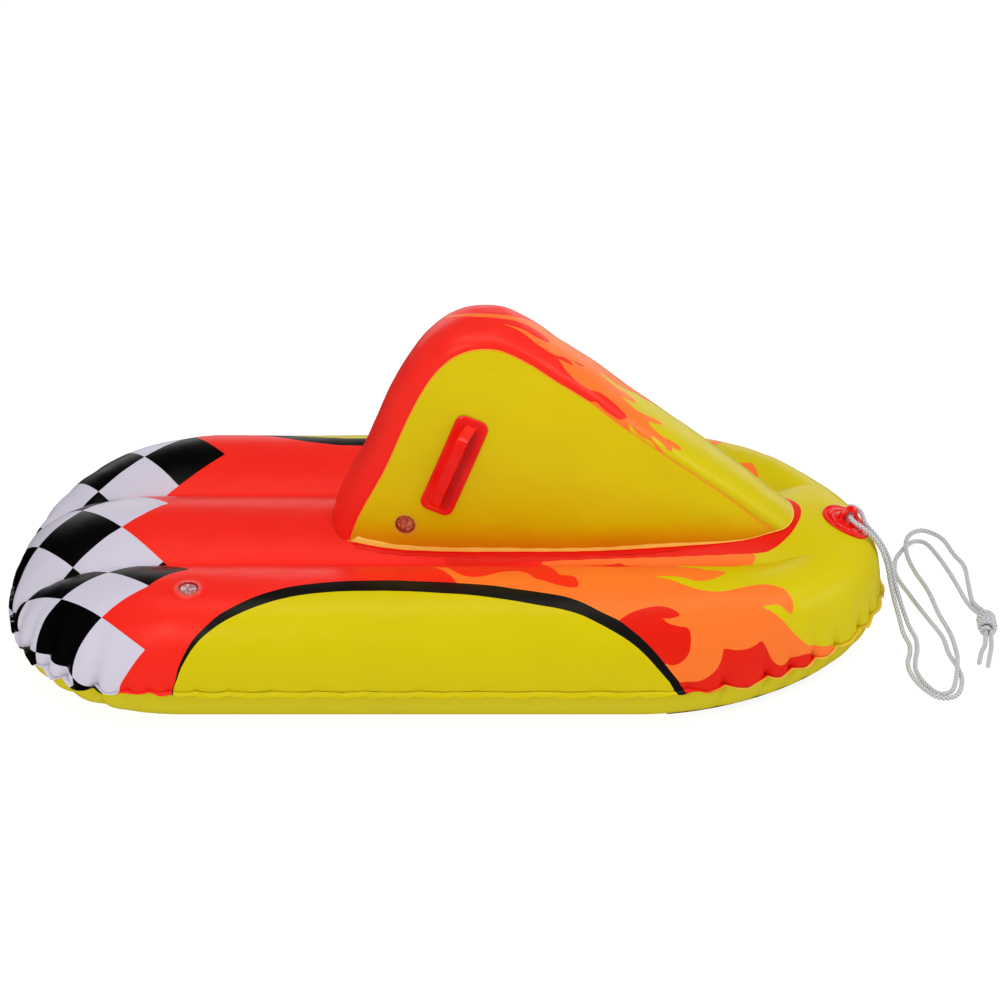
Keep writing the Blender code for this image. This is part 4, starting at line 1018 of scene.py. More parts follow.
def signed_distance(first, second, runs, scale=(1.0, 1.0)):
    """Distance of sheet places to the closed outline of some runs, above zero inside it."""
    size = np.array(scale)
    place = np.stack([np.ravel(first), np.ravel(second)], 1) * size
    loop = smooth_outline(runs) * size
    nearest = np.full(len(place), 1e9)
    inside = np.zeros(len(place), dtype=bool)
    for start, stop in zip(loop, np.roll(loop, -1, 0)):
        edge = stop - start
        span = float(edge @ edge)
        if span < 1e-14:
            continue
        offset = place - start
        share = np.clip(offset @ edge / span, 0, 1)
        gap_now = ((offset - share[:, None] * edge) ** 2).sum(1)
        nearest = np.minimum(nearest, gap_now)
        crosses = (start[1] > place[:, 1]) != (stop[1] > place[:, 1])
        if abs(edge[1]) > 1e-12:
            reach = start[0] + (place[:, 1] - start[1]) / edge[1] * edge[0]
            inside ^= crosses & (place[:, 0] < reach)
    return (np.sqrt(nearest) * np.where(inside, 1, -1)).reshape(np.shape(first))


print("printed outlines ready:", len(smooth_outline(flame_outline)), "points in the flames")

# %% [markdown]
# ## Hull sheets
# The top is made as three lobes that meet in the creases. Rows run along the sled at even
# steps of sheet, so the grid is as fine on the steep flanks as on the deck.

# %% Hull print material
def hull_paint(shader):
    """Colour of the hull print, laid layer over layer from its point attributes."""
    paint = shader.mix(shader.above("nose"), deck_red, hull_yellow)
    paint = shader.mix(shader.above("flames"), paint, flame_orange)
    # Marks are red print, and the crease lens among them is painted fold shade.
    paint = shader.mix(shader.above("marks"), paint, mark_red)
    cell_sum = shader.math(
        "ADD",
        shader.math("FLOOR", shader.attribute("lattice_i")),
        shader.math("FLOOR", shader.attribute("lattice_j")),
    )
    odd = shader.math("FLOORED_MODULO", cell_sum, 2.0)
    check = shader.mix(odd, check_white, check_black)
    paint = shader.mix(shader.above("checked"), paint, check)
    paint = shader.mix(shader.above("arc"), paint, arc_black)
    return shader.mix(shader.above("side"), paint, hull_yellow)


hull_shader = Shader("vinyl_printed_hull")
hull_material = vinyl(hull_shader, hull_paint(hull_shader))
print("hull print has", len(hull_shader.tree.nodes), "nodes")

# %% [markdown]
# The chequered tail was fitted lobe by lobe: a second-order polynomial in the sheet
# coordinates gives the lattice, whose cells are rounded down and coloured by odd and even.

# %% Hull top
fine_y = np.linspace(0, half_width, 6001)
fine_z = deck_height(np.zeros_like(fine_y), fine_y)
girth_table = lengths_along(np.stack([fine_y, fine_z], 1))
crease_girth = float(np.interp(lobe_half_width, fine_y, girth_table))
side_girth = float(girth_table[-1])
print("the top sheet measures", round(2 * side_girth, 3), "m across")


def polynomial(factors, a, v, middle):
    """c0 + c1 da + c2 dv + c3 da^2 + c4 da dv + c5 dv^2 about a middle point."""
    da = a - middle[0]
    dv = v - middle[1]
    terms = (1, da, dv, da * da, da * dv, dv * dv)
    return sum(factor * term for factor, term in zip(factors, terms))


# Where the chequered tail stops: red lies below the first two lines and ahead of the third.
near_cut = rows_from([
    -3626, -1872, -3363, -1588, -3154, -1455, -3095, -1434, -2400, -935,
])
centre_cut = rows_from([
    -4092, -307, -3972, -195, -3829, -71, -3681, 74, -3600, 160, -3531, 202, -3100, 500,
    -2700, 935,
])
low_cut = rows_from([
    -4620, -3600, -4300, -3090, -4150, -2985, -4072, -2922, -4016, -2900, -3919, -2843,
    -3841, -2776, -3768, -2717, -3712, -2672, -3632, -2622, -2800, -2000,
])


lattice_fits = {
    # lobe: middle of the fit, factors of i, factors of j
    "near": (
        (-0.446, -0.197), (0.65, 5.53, -13.02, 2.76, -1.92, 1.32),
        (-0.09, 10.99, 12.08, -0.67, 2.73, -4.53),
    ),
    "centre": (
        (-0.44, -0.02), (0.68, 7.05, -9.24, 0.0, -17.98, 0.0), (0.76, 9.68, 8.88, 0.0, 7.88, 0.0)
    ),
    "far": (
        (-0.372, 0.132), (0.51, 9.08, -10.08, 2.06, -0.59, -1.85),
        (0.97, 9.8, 8.52, -1.21, 0.34, 1.08),
    ),
}


def checker(lobe, a, v):
    """Chequer lattice coordinates on one lobe and the distance into the chequered tail.

    Each lobe of the tail was printed as a slanted square lattice; (i, j) count its cells.
    """
    middle, i_factors, j_factors = lattice_fits[lobe]
    i = polynomial(i_factors, a, v, middle)
    j = polynomial(j_factors, a, v, middle)
    if lobe == "far":
        return i, j, np.maximum(np.minimum(1 - i, 2 - j), -i)
    border = near_cut if lobe == "near" else centre_cut
    above_border = np.minimum((v - np.interp(a, *border.T)) * 12, 2 - j)
    upper = np.where(a > border[0, 0], above_border, 1 - i)
    if lobe == "centre":
        return i + 1, j, np.maximum(upper, np.minimum(1 - j, 3 - i))
    end = np.interp(v, low_cut[:, 1], low_cut[:, 0])
    zone = np.maximum(upper, np.minimum((end - a) * 10, -j))
    return np.where(j < 0, np.minimum(i, 1.99), i), j, zone


def print_on(lobe, a, v):
    """Every printed layer of one lobe as signed distances, from its sheet coordinates.

    The far lobe carries the near one's shapes turned over, with its flames set 75 mm back.
    """
    i, j, zone = checker(lobe, a, v)
    w = -v if lobe == "far" else v
    moved = a + 0.075 if lobe == "far" else a
    flames = [signed_distance(moved, w, flame_outline)]
    if lobe == "far":
        flames.append(signed_distance(a, v, far_lick_outline))
    if lobe == "centre":
        flames.append(signed_distance(a, -v, flame_outline))
    marks = [signed_distance(moved, w, runs) for runs in (blob_outline, low_red_outline)]
    # The crease lens is painted fold shade; the stripe is print.
    marks += [signed_distance(a, w, crease_shade_outline), signed_distance(a, v, stripe_outline)]
    layers = {
        "lattice_i": i,
        "lattice_j": j,
        "checked": np.where(a < -0.15, zone * 0.1, -1.0),
        "nose": signed_distance(a, v, nose_outline),
        "flames": np.maximum.reduce(flames),
        "marks": np.maximum.reduce(marks),
    }
    for key, runs in (("arc", arc_outline), ("side", side_outline)):
        centre = lobe == "centre"
        layers[key] = np.full(np.shape(a), -1.0) if centre else signed_distance(a, w, runs)
    return layers

# %% [markdown]
# Each lobe is gridded by lengths of sheet. A fitting stands on it by a frame of its own,
# and a valve needs a real hole, so quads are left out and their rim is drawn to a circle.

# %% Lobe grid, frames and holes
def lobe_grid(first, last, step):
    """Points of one lobe between two girths, with sheet coordinates a and v.

    Row r keeps y fixed; along it x is read at even lengths of the line (x, deck_height(x, y)).
    """
    rows = int(round(abs(last - first) / step)) + 1
    v = np.linspace(first, last, rows)
    y = np.sign(v) * np.interp(np.abs(v), girth_table, fine_y)
    columns = int(round(1.26 / step))
    swing = (1 - np.cos(np.linspace(0, math.pi, 2400))) / 2
    points = np.empty((rows, columns, 3))
    a = np.empty((rows, columns))
    for r, place in enumerate(y):
        rear, nose = end_positions(place)
        x = rear + (nose - rear) * swing
        z = deck_height(x, np.full_like(x, place))
        run = lengths_along(np.stack([x, z], 1))
        at = np.linspace(0, run[-1], columns)
        points[r, :, 0] = np.interp(at, run, x)
        points[r, :, 1] = place
        points[r, :, 2] = np.interp(at, run, z)
        a[r] = at - np.interp(0.0, x, run)
    return points, a, np.broadcast_to(v[:, None], a.shape)


def surface_frame(origin, normal):
    """Origin and three unit directions: two across, the first near +X, and the normal."""
    up = unit(np.array(normal, float))
    first = unit(np.array([1.0, 0.0, 0.0]) - up * up[0])
    return np.array(origin, float), first, np.cross(up, first), up


def slopes(height, first, second, step=0.002):
    """Slopes of height(first, second) along both of its arguments, from central differences."""
    return (
        float(height(first + step, second) - height(first - step, second)) / (2 * step),
        float(height(first, second + step) - height(first, second - step)) / (2 * step),
    )


def deck_frame(x, y):
    """Frame on the deck at (x, y) with its normal from the slopes of deck_height."""
    slope_x, slope_y = slopes(deck_height, x, y)
    return surface_frame((x, y, float(deck_height(x, y))), (-slope_x, -slope_y, 1))


def off_axis(points, frame):
    """Distance of points from a frame's normal line, and their height along it."""
    origin, first, second, up = frame
    offset = points - origin
    return np.hypot(offset @ first, offset @ second), offset @ up


def pierced(points, frame, radius):
    """Grid points with a round hole opened about a frame's normal, and the quads that stay.

    A point inside the circle with a kept quad beside it moves straight out onto the circle.
    """
    origin, _, _, up = frame
    away, height = off_axis(points, frame)
    inside = (away < radius) & (np.abs(height) < 0.03)
    keep = ~(inside[:-1, :-1] & inside[:-1, 1:] & inside[1:, 1:] & inside[1:, :-1])
    beside = np.zeros_like(inside)
    early, late = slice(None, -1), slice(1, None)
    for rows in (early, late):
        for columns in (early, late):
            beside[rows, columns] |= keep
    centre = origin + height[..., None] * up
    scale = radius / np.maximum(away, 1e-6)
    outward = centre + (points - centre) * scale[..., None]
    return np.where((inside & beside)[..., None], outward, points), keep


valve_hole_radius = 0.0122
hull_valve_frame = deck_frame(-0.3111, -0.1802)
tow_frame = deck_frame(0.5040, 0.0)
print("hull valve stands at", hull_valve_frame[0].round(3), "facing", hull_valve_frame[3].round(2))

# %% [markdown]
# The webs inside hold the sheet down along the creases: a tight line with faint gathers.
# The three lobes are then built, gathered at the seam, slackened and printed.

# %% Top lobes
def tighten_creases(points, a):
    """Pull the sheet down along both creases: a tight line with faint gathers across it.

    drop = 1.5 mm exp(-d / 3 mm) + 0.5 mm cos(2 pi a / 31 mm) exp(-(d / 14 mm)^2), with d the
    distance from the crease, fading where the creases end under the nose.
    """
    away = np.abs(np.abs(points[..., 1]) - lobe_half_width)
    fade = ramp(points[..., 0], 0.46, 0.36) * ramp(points[..., 0], -0.545, -0.495)
    wobble = np.cos(2 * math.pi * a / 0.031 + 1.6 * np.sin(a * 23.0) + np.sign(points[..., 1]))
    drop = 0.0015 * np.exp(-away / 0.003) + 0.0005 * wobble * bell(away, 0.014)
    lowered = points.copy()
    lowered[..., 2] -= drop * fade
    return lowered


sheet_step = 0.0022
for lobe, first, last in (
    ("near", -side_girth, -crease_girth),
    ("centre", -crease_girth, crease_girth),
    ("far", crease_girth, side_girth),
):
    points, a, v = lobe_grid(first, last, sheet_step)
    normal = normals_of(points, (0, 0, 1))
    shaped, from_seam = gather(points, normal)
    crease_away = np.abs(np.abs(points[..., 1]) - lobe_half_width)
    calm = ramp(crease_away, 0, 0.02) * ramp(from_seam, 0, 0.05)
    for frame_here, reach in ((hull_valve_frame, 0.019), (tow_frame, 0.034)):
        calm = calm * ramp(off_axis(points, frame_here)[0], reach, 2 * reach)
    slack = slack_of(points, 11, (0.0008, 0.17), (0.0003, 0.05))
    shaped = shaped + normal * (slack * calm)[..., None]
    shaped = tighten_creases(shaped, a)
    keep = None
    if lobe == "near":
        shaped, keep = pierced(shaped, hull_valve_frame, valve_hole_radius)
    item = grid_mesh(f"hull_top_{lobe}", shaped, False, print_on(lobe, a, v), keep=keep)
    finish_piece(item, hull_material, nodes=["hull_top_sheet"])

# %% [markdown]
# ## Lower sheet and seam
# The lower sheet turns in under the seam with the same puckers and lies flat on the ground. The
# two sheets are welded in a narrow strip that stands out all round: it hangs down along the
# straight sides and sticks out level round the ends, rippling where the sheet is gathered.

# %% Lower sheet
lower_shader = Shader("vinyl_yellow_lower")
lower_material = vinyl(lower_shader, srgb(206, 190, 14), rough=0.42)


def lower_ring(share):
    """One ring of the lower sheet: a quarter turn from the seam (0) to the flat base (1)."""
    turn = share * math.pi / 2
    inset = 1 - math.cos(turn)
    end_inset = np.where(outline[:, 0] > 0, bottom_nose_inset, bottom_rear_inset)
    x = outline[:, 0] * (1 - end_inset * inset / half_length)
    y = outline[:, 1] * (1 - bottom_side_inset * inset / half_width)
    z = np.full(len(outline), bottom_seam_height * (1 - math.sin(turn)))
    return np.stack([x, y, z], 1)


rings = np.stack([lower_ring(share) for share in np.linspace(0, 1, 30)])
closed_rings = np.concatenate([rings, rings[:, :1]], 1)
ring_normal = normals_of(closed_rings, (1, 0, 0), (5, 0))[:, :-1]
lower, _ = gather(rings, ring_normal, upper=False)
lower[..., 2] = np.maximum(lower[..., 2], 0.0)
base_shares = np.array([0.94, 0.8, 0.6, 0.35, 0.1])[:, None, None]
lower = np.concatenate([lower, lower[-1] * base_shares * (1, 1, 0)])
item = grid_mesh("hull_lower", lower, True, loop_columns=True)
finish_piece(item, lower_material, nodes=["hull_bottom_sheet"])

# %% [markdown]
# The welded strip could be a bevel on the sheet, but the real one is a limp edge of its own
# that hangs, ripples and shows a pale cut edge. It is swept as a thin bar round the outline.

# %% Seam strip
def run_along(x, y):
    """Sheet length from the middle of the sled to x, along lines of constant y."""
    share = np.sin(np.linspace(0, math.pi / 2, 400))
    line = x[:, None] * share[None, :]
    z = deck_height(line, np.broadcast_to(y[:, None], line.shape))
    return np.sign(x) * np.hypot(np.diff(line, axis=1), np.diff(z, axis=1)).sum(1)


# Section of the strip: share of its reach outward, share of its thickness up.
strip_section = (
    (-0.80, 0.5), (0.3, 0.5), (0.7, 0.5), (0.88, 0.5), (0.97, 0.3), (1.0, 0.0),
    (0.97, -0.3), (0.8, -0.5), (0.3, -0.5), (-0.80, -0.5),
)


def seam_strip(thickness=0.0010):
    """Welded strip round the hull, the sheet coordinates of its points and its pale edge.

    At length s from the nose it leaves the seam at tilt(s) below level and runs out by reach(s);
    its section is a thin rounded bar. The print of the top sheet runs on over it. Its edge is
    pale round both ends, at the rear on the under side only.
    """
    count = len(outline)
    s = (perimeter - np.arange(count) * perimeter / count) % perimeter
    lift, sag = seam_state(s)[:2]
    near_s = np.minimum(s, perimeter - s)
    side_share = ramp(near_s, 0.36, 0.42) * ramp(near_s, 1.03, 0.97)
    rear_share = ramp(near_s, 1.06, 1.16)
    nose_share = ramp(near_s, 0.26, 0)
    pale_edge = 1 - ramp(near_s, 0.33, 0.36) * ramp(near_s, 1.05, 0.99)
    ripple = 0.6 * np.sin(2 * math.pi * s / 0.047 + 2.1 * np.sin(s * 17.0))
    ripple = ripple + 0.4 * np.sin(2 * math.pi * s / 0.021 + 1.3 * np.sin(s * 41.0))
    tilt = 12 + 40 * side_share + (14 + 6 * side_share) * ripple
    tilt = np.radians(tilt + 16 * (sag - 0.5) * (1 - side_share))
    reach = 0.0042 + 0.0034 * side_share + 0.0024 * rear_share + 0.0026 * nose_share
    reach = reach * (1 + (0.12 + 0.10 * side_share + 0.14 * nose_share) * ripple)
    base_height = (seam_height + lift + side_raise(s))[:, None]
    base = np.concatenate([outline + outline_out * (lift * -0.35)[:, None], base_height], 1)
    level = np.concatenate([outline_out, np.zeros((count, 1))], 1)
    down = np.array([0.0, 0.0, -1.0])
    y = np.clip(outline[:, 1], -half_width + 1e-6, half_width - 1e-6)
    a_seam = run_along(outline[:, 0], y)
    v_seam = np.sign(y) * np.interp(np.abs(y), fine_y, girth_table)
    rows, a, v, rim = [], [], [], []
    for out, up in strip_section:
        bend = (tilt * np.clip(out, 0, 1) ** 0.5)[:, None]
        away = level * np.cos(bend) + down * np.sin(bend)
        across = level * np.sin(bend) - down * np.cos(bend)
        rows.append(base + away * (reach * out)[:, None] + across * (thickness * up))
        a.append(a_seam + outline_out[:, 0] * reach * max(out, 0))
        v.append(v_seam + outline_out[:, 1] * reach * max(out, 0))
        on_edge = float(up < 0.45 or out > 0.6)
        rim.append(pale_edge * np.where(near_s > 1.0, float(up < -0.2), on_edge))
    return np.stack(rows), np.stack(a), np.stack(v), np.stack(rim)


strip_points, strip_a, strip_v, strip_rim = seam_strip()
printed = {lobe: print_on(lobe, strip_a, strip_v) for lobe in ("near", "centre", "far")}
strip_layers = {"rim": strip_rim}
for key in printed["near"]:
    beside = np.where(strip_v < 0, printed["near"][key], printed["far"][key])
    strip_layers[key] = np.where(np.abs(strip_v) < crease_girth, printed["centre"][key], beside)

seam_shader = Shader("vinyl_seam_strip")
seam_paint = hull_paint(seam_shader)
edge_share = seam_shader.math("MULTIPLY", seam_shader.attribute("rim"), 0.85)
seam_paint = seam_shader.mix(edge_share, seam_paint, srgb(238, 190, 70))
seam_material = vinyl(seam_shader, seam_paint, rough=0.30, specular=0.35)
item = grid_mesh(
    "hull_seam_strip", strip_points, True, strip_layers, loop_rows=True, loop_columns=True
)
finish_piece(
    item, seam_material, nodes=["hull_top_sheet", "hull_bottom_sheet"]
)

# %% [markdown]
# ## Console
# The wedge in front of the rider is a second inflated body welded onto the deck: two bulged side
# panels, a crowned band that runs over the top from the rider's side down to the nose, and a
# thin strip at the foot where it is welded to the deck.

# %% Console form
console_rear_x = -0.1205
console_length = 0.5320
console_base_height = 0.1500
console_height = 0.2698
console_seam_half_width = 0.0500
console_base_half_width = 0.0672
console_panel_bulge = 0.013
console_crown = 0.022
console_foot_gap = 0.0008
console_blend_share = 0.03
console_flat_share = 0.10
console_foot_share = 0.12
console_slope_share = 0.004
console_edge_shares = rows_from([
    0, 0, 10900, 10000, 160, 1040, 10850, 10500, 380, 1980, 10700, 11200, 860, 3840, 10500, 12000,
    1460, 6680, 10200, 11800, 1930, 8440, 10000, 11000, 2380, 9450, 10000, 10500,
    2770, 9870, 10000, 10200, 3180, 10000, 10000, 10000, 3600, 9860, 10000, 9800,
    4250, 9150, 10000, 9400, 4680, 8520, 10000, 9000, 5350, 7610, 10000, 8800,
    5670, 7150, 10000, 8700, 6420, 5890, 10000, 8600, 7310, 4570, 10000, 8600,
    8720, 2400, 9300, 9200, 9500, 1050, 8700, 10200, 10000, 0, 8340, 11200,
], 4)
console_base_shares = rows_from([
    0, 8110, 600, 9000, 1180, 9610, 2350, 9960, 3520, 10000, 5770, 9840, 7990, 8820, 9150, 7870,
    10000, 6200,
])


def console_edge(at):
    """x, height, half width and crown of the console's edge at shares of its run."""
    along, up, wide, crown_share = console_edge_shares.T
    x = console_rear_x + along * console_length
    z = console_base_height + up * console_height
    width = wide * console_seam_half_width
    crown = crown_share * console_crown
    z[0] = deck_height(x[0], width[0]) + console_foot_gap
    z[-1] = deck_height(x[-1], width[-1]) + console_foot_gap
    run = lengths_along(np.stack([x, z], 1))
    run = run / run[-1]
    return tuple(spline(run, column, at) for column in (x, z, width, crown))


edge_x, edge_z, edge_width, _ = console_edge(np.linspace(0, 1, 1200))


def console_base_width(x):
    """Half width of the line where the side panels meet the deck."""
    share = (np.asarray(x, float) - console_rear_x) / console_length
    width = spline(*console_base_shares.T, np.clip(share, 0, 1)) * console_base_half_width
    blend = np.clip(np.minimum(share, 1 - share) / console_blend_share, 0, 1)
    return width * blend + np.interp(x, edge_x, edge_width) * (1 - blend)

# %% [markdown]
# The side panels and the band are both formulas over the same edge, one read by length and
# height, the other by its run over the top and the place across.

# %% Console surfaces
def panel_half_width(x, z):
    """How far a side panel stands from the middle: foot to edge in a line, plus the bulge.

    bulge = B sin(pi t^0.7) lift^0.7 sin(pi share)^0.3, with t the share of the height.
    """
    x = np.asarray(x, float)
    low_width = console_base_width(x)
    low = deck_height(x, low_width) + console_foot_gap
    high = np.interp(x, edge_x, edge_z)
    high_width = np.interp(x, edge_x, edge_width)
    t = np.clip((np.asarray(z, float) - low) / np.maximum(high - low, sheet_thickness), 0, 1)
    share = np.clip((x - console_rear_x) / console_length, 0, 1)
    lift = np.clip((high - low) / console_height, 0, 1) ** 0.7
    swell = console_panel_bulge * np.sin(math.pi * t ** 0.7) * lift * np.sin(math.pi * share) ** 0.3
    return low_width + (high_width - low_width) * t + swell


def band_surface(at, across):
    """Crowned band over the console: edge point + crown cos(pi c / 2)^0.9 outward."""
    x, z, width, crown = console_edge(at)
    ahead = console_edge(np.clip(at + console_slope_share, 0, 1))
    behind = console_edge(np.clip(at - console_slope_share, 0, 1))
    along = unit(np.stack([ahead[0] - behind[0], ahead[1] - behind[1]], 1))
    out = np.stack([-along[:, 1], along[:, 0]], 1)
    flat = np.clip(np.minimum(at, 1 - at) / console_flat_share, 0, 1)[:, None]
    level = np.stack([np.where(at < 0.5, -1.0, 1.0), np.zeros_like(at)], 1)
    out = unit(out * flat + level * (1 - flat))
    rise = crown[:, None] * np.cos(across[None, :] * math.pi / 2).clip(0) ** 0.9
    y = (width[:, None] - gap) * np.sin(across[None, :] * math.pi / 2)
    px = x[:, None] + out[:, 0:1] * rise
    pz = z[:, None] + out[:, 1:2] * rise
    shift = deck_height(px, y) + console_foot_gap - pz
    fade = np.clip(1 - np.minimum(at, 1 - at)[:, None] / console_foot_share, 0, 1) ** 2
    first = np.broadcast_to(shift[0][None, :], shift.shape)
    last = np.broadcast_to(shift[-1][None, :], shift.shape)
    pz = pz + fade * np.where(at[:, None] < 0.5, first, last)
    return np.stack([px, y, pz], -1)


console_run = float(np.sum(np.hypot(np.diff(edge_x), np.diff(edge_z))))
print("console edge runs", round(console_run, 3), "m")

# %% [markdown]
# The side panels are plain yellow, warmer toward the deck: a painted reflection of the red
# deck. The band is printed with flames that wrap over its crown. Both turn orange in a hair
# line at the weld.

# %% Console materials
panel_shader = Shader("vinyl_yellow_console")
edge_share = panel_shader.spread(panel_shader.attribute("from_edge"), 0.0003, 0.0014, 0.0, 1.0)
panel_paint = panel_shader.mix(edge_share, srgb(232, 150, 24), console_yellow)
# Painted reflection of the red deck: the panel turns orange toward its foot.
painted_deck_reflection = panel_shader.spread(panel_shader.attribute("from_foot"), 0.0, 0.042, 0.42, 0.0)
panel_paint = panel_shader.mix(painted_deck_reflection, panel_paint, srgb(240, 96, 14))
panel_material = vinyl(panel_shader, panel_paint, rough=0.38)

band_shader = Shader("vinyl_printed_band")
band_paint = deck_red
for layer, colour in (
    ("orange", flame_orange), ("sliver", srgb(226, 44, 30)), ("yellow", hull_yellow)
):
    band_paint = band_shader.mix(band_shader.above(layer), band_paint, colour)
edge_share = band_shader.spread(band_shader.attribute("from_edge"), 0.0002, 0.0009, 0.0, 1.0)
band_paint = band_shader.mix(edge_share, srgb(236, 96, 40), band_paint)
band_material = vinyl(band_shader, band_paint, specular=0.5)
print("console finishes:", panel_material.name, band_material.name)

# %% [markdown]
# The panels bulge between foot and edge, and the band is crowned between both edges. Each
# is one surface of formulas, so the two meet in the same line without a gap.

# %% Console sheets
def panel_face(x, z):
    """Outer face of a side panel, as a distance from the middle."""
    return panel_half_width(x, z) + sheet_thickness + gap


def panel_frame(x, z, side):
    """Frame on a side panel at (x, z) with its normal from the slopes of the panel."""
    slope_x, slope_z = slopes(panel_half_width, x, z)
    return surface_frame((x, side * float(panel_face(x, z)), z), (-slope_x, side, -slope_z))


def by_side(*nodes):
    """The nodes of a pair by the side where they stand: -1 the near one, 1 the far one."""
    return {1 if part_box(node)[0][1] > 0 else -1: node for node in nodes}


def across_handle(x, z):
    """Lengths along and across the handle's plate from its middle, in the panel's plane."""
    dx, dz = x - handle_centre[0], z - handle_centre[1]
    sine, cosine = math.sin(handle_lean), math.cos(handle_lean)
    return dx * sine + dz * cosine, dx * cosine - dz * sine


console_valve_frame = panel_frame(-0.0505, 0.1850, -1)
handle_centre = (0.0105, 0.2690)
handle_lean = math.radians(22.0)
handle_reach = (0.068, 0.022)
print("console valve stands at", console_valve_frame[0].round(3))


def console_panel(side, rows=110, columns=230):
    """Points of a side panel and each point's distance from its edge.

    Rows rise from the foot to the edge; the sheet sinks 0.3 mm over the last 1 mm there. The
    skin is slack: it dips and swells by about a millimetre, but not at the handle and the valve.
    """
    swing = (1 - np.cos(np.linspace(0, math.pi, columns))) / 2
    share = swing * 0.35 + np.linspace(0, 1, columns) * 0.65
    x = console_rear_x + console_length * share
    high = np.interp(x, edge_x, edge_z)
    low = deck_height(x, console_base_width(x)) + console_foot_gap
    climb = np.linspace(0, 1, rows)
    climb = climb * 0.7 + (1 - np.cos(climb * math.pi)) / 2 * 0.3
    z = low + (high - low) * climb[:, None]
    wide = np.broadcast_to(x, z.shape)
    points = np.stack([wide, side * panel_face(wide, z), z], -1)
    span = (high - low)[None, :]
    tall = np.maximum(span, 1e-4)
    from_foot, from_edge = climb[:, None] * tall, (1 - climb[:, None]) * tall
    away = np.minimum(from_foot, from_edge)
    along, over = across_handle(wide, z)
    from_handle = np.maximum(np.abs(along) - handle_reach[0], np.abs(over) - handle_reach[1])
    calm = ramp(away, 0, 0.03) * ramp(span, 0, 0.05) * ramp(from_handle, 0, 0.02)
    if side < 0:
        calm = calm * ramp(off_axis(points, console_valve_frame)[0], 0.019, 0.038)
    slack = slack_of(points, 21, (0.0011, 0.14), (0.0004, 0.045))
    push = slack * calm - 0.0003 * bell(away, 0.0010)
    normal = normals_of(points, (0, side, 0))
    return points + normal * push[..., None], {"from_edge": from_edge, "from_foot": from_foot}


panel_nodes = by_side("console_left_panel", "console_right_panel")
for side, name in ((-1, "near"), (1, "far")):
    points, layers = console_panel(side)
    keep = None
    if side < 0:
        points, keep = pierced(points, console_valve_frame, valve_hole_radius)
    item = grid_mesh(f"console_panel_{name}", points, side > 0, layers, keep=keep)
    finish_piece(item, panel_material, nodes=[panel_nodes[side]])

# %% [markdown]
# The band carries its flames as signed distances too. Distances across it are scaled to its
# half width, so that a flame keeps its shape where the band narrows.

# %% Console band
at = np.linspace(0, 1, 420)
even = np.linspace(-1, 1, 96)
across = (np.sin(even * math.pi / 2) + even) * 0.5
points = band_surface(at, across)
normal = normals_of(points, (0, 0, 1), (170, 48))
run = (at * console_run)[:, None] + np.zeros((1, len(across)))
over = np.broadcast_to(across[None, :], run.shape)
girth_away = np.cumsum(np.linalg.norm(np.diff(points, axis=1), axis=2), axis=1)
girth_away = np.concatenate([np.zeros((len(at), 1)), girth_away], 1)
edge_away = np.minimum(girth_away, girth_away[:, -1:] - girth_away)
half_width_of_band = 0.055
layers = {
    name: signed_distance(run, over, runs, (1.0, half_width_of_band))
    for name, runs in (
        ("orange", console_orange_outline), ("yellow", console_yellow_outline),
        ("lick", console_lick_outline), ("sliver", console_sliver_outline),
    )
}
layers["yellow"] = np.maximum(layers["yellow"], layers.pop("lick"))
layers["from_edge"] = edge_away
slack = slack_of(points, 31, (0.0008, 0.12), (0.0003, 0.04))
push = slack * ramp(edge_away, 0, 0.02) - 0.0003 * bell(edge_away, 0.0010)
item = grid_mesh("console_band_skin", points + normal * push[..., None], True, layers)
finish_piece(item, band_material, nodes=["console_band"])

# %% [markdown]
# The weld between the side panels and the band is a fine raised line of melted vinyl. A round
# bead swept along the shared edge catches the light as the real one does.

# %% Console seam
weld_shader = Shader("vinyl_console_weld")
weld_material = vinyl(weld_shader, srgb(250, 150, 50), rough=0.30)
weld_radius = 0.0008
weld_turn = angles(10)[None, :, None]
for side, name in ((-1, "near"), (1, "far")):
    edge = band_surface(np.linspace(0, 1, 420), np.array([side * 1.0, side * 0.99]))[:, 0]
    edge = smooth_line(edge + np.array([0.0, side * 0.0004, 0.0]), 0.002)[0]
    first, second = frames_along(edge)
    ring = first[:, None] * np.cos(weld_turn) + second[:, None] * np.sin(weld_turn)
    bead = edge[:, None] + ring * weld_radius
    item = grid_mesh(f"console_weld_{name}", bead, side > 0, loop_columns=True)
    cap_ends(item, bead.shape[1])
    finish_piece(item, weld_material, nodes=["console_band"])

# %% [markdown]
# A strip welds the console to the deck. It stands up against the panels and turns out onto
# the deck in a soft wave; its lower part is red and its upper part pale.

# %% Console foot
foot_shader = Shader("vinyl_foot_strip")
upper_part = foot_shader.above("lift", 0.0044)
foot_paint = foot_shader.mix(upper_part, srgb(236, 30, 16), srgb(255, 212, 92))
foot_material = vinyl(foot_shader, foot_paint, rough=0.34)


def foot_loop(count=700):
    """Closed line round the foot of the console at even lengths, with outward directions."""
    share = np.linspace(0, 1, 200)
    x = console_rear_x + console_length * share
    wide = console_base_width(x) + sheet_thickness + gap
    ends = band_surface(np.array([0.0, 1.0]), np.linspace(-1, 1, 81))
    near = np.stack([x, -wide], 1)
    far = np.stack([x[::-1], wide[::-1]], 1)
    loop = np.concatenate([near, ends[1][1:-1, :2], far, ends[0][::-1][1:-1, :2]])
    loop = np.concatenate([loop, loop[:1]])
    even, length = even_loop(loop, count)
    for _ in range(12):
        even = even * 0.5 + (np.roll(even, 1, 0) + np.roll(even, -1, 0)) * 0.25
    return even, outward_of(even), length


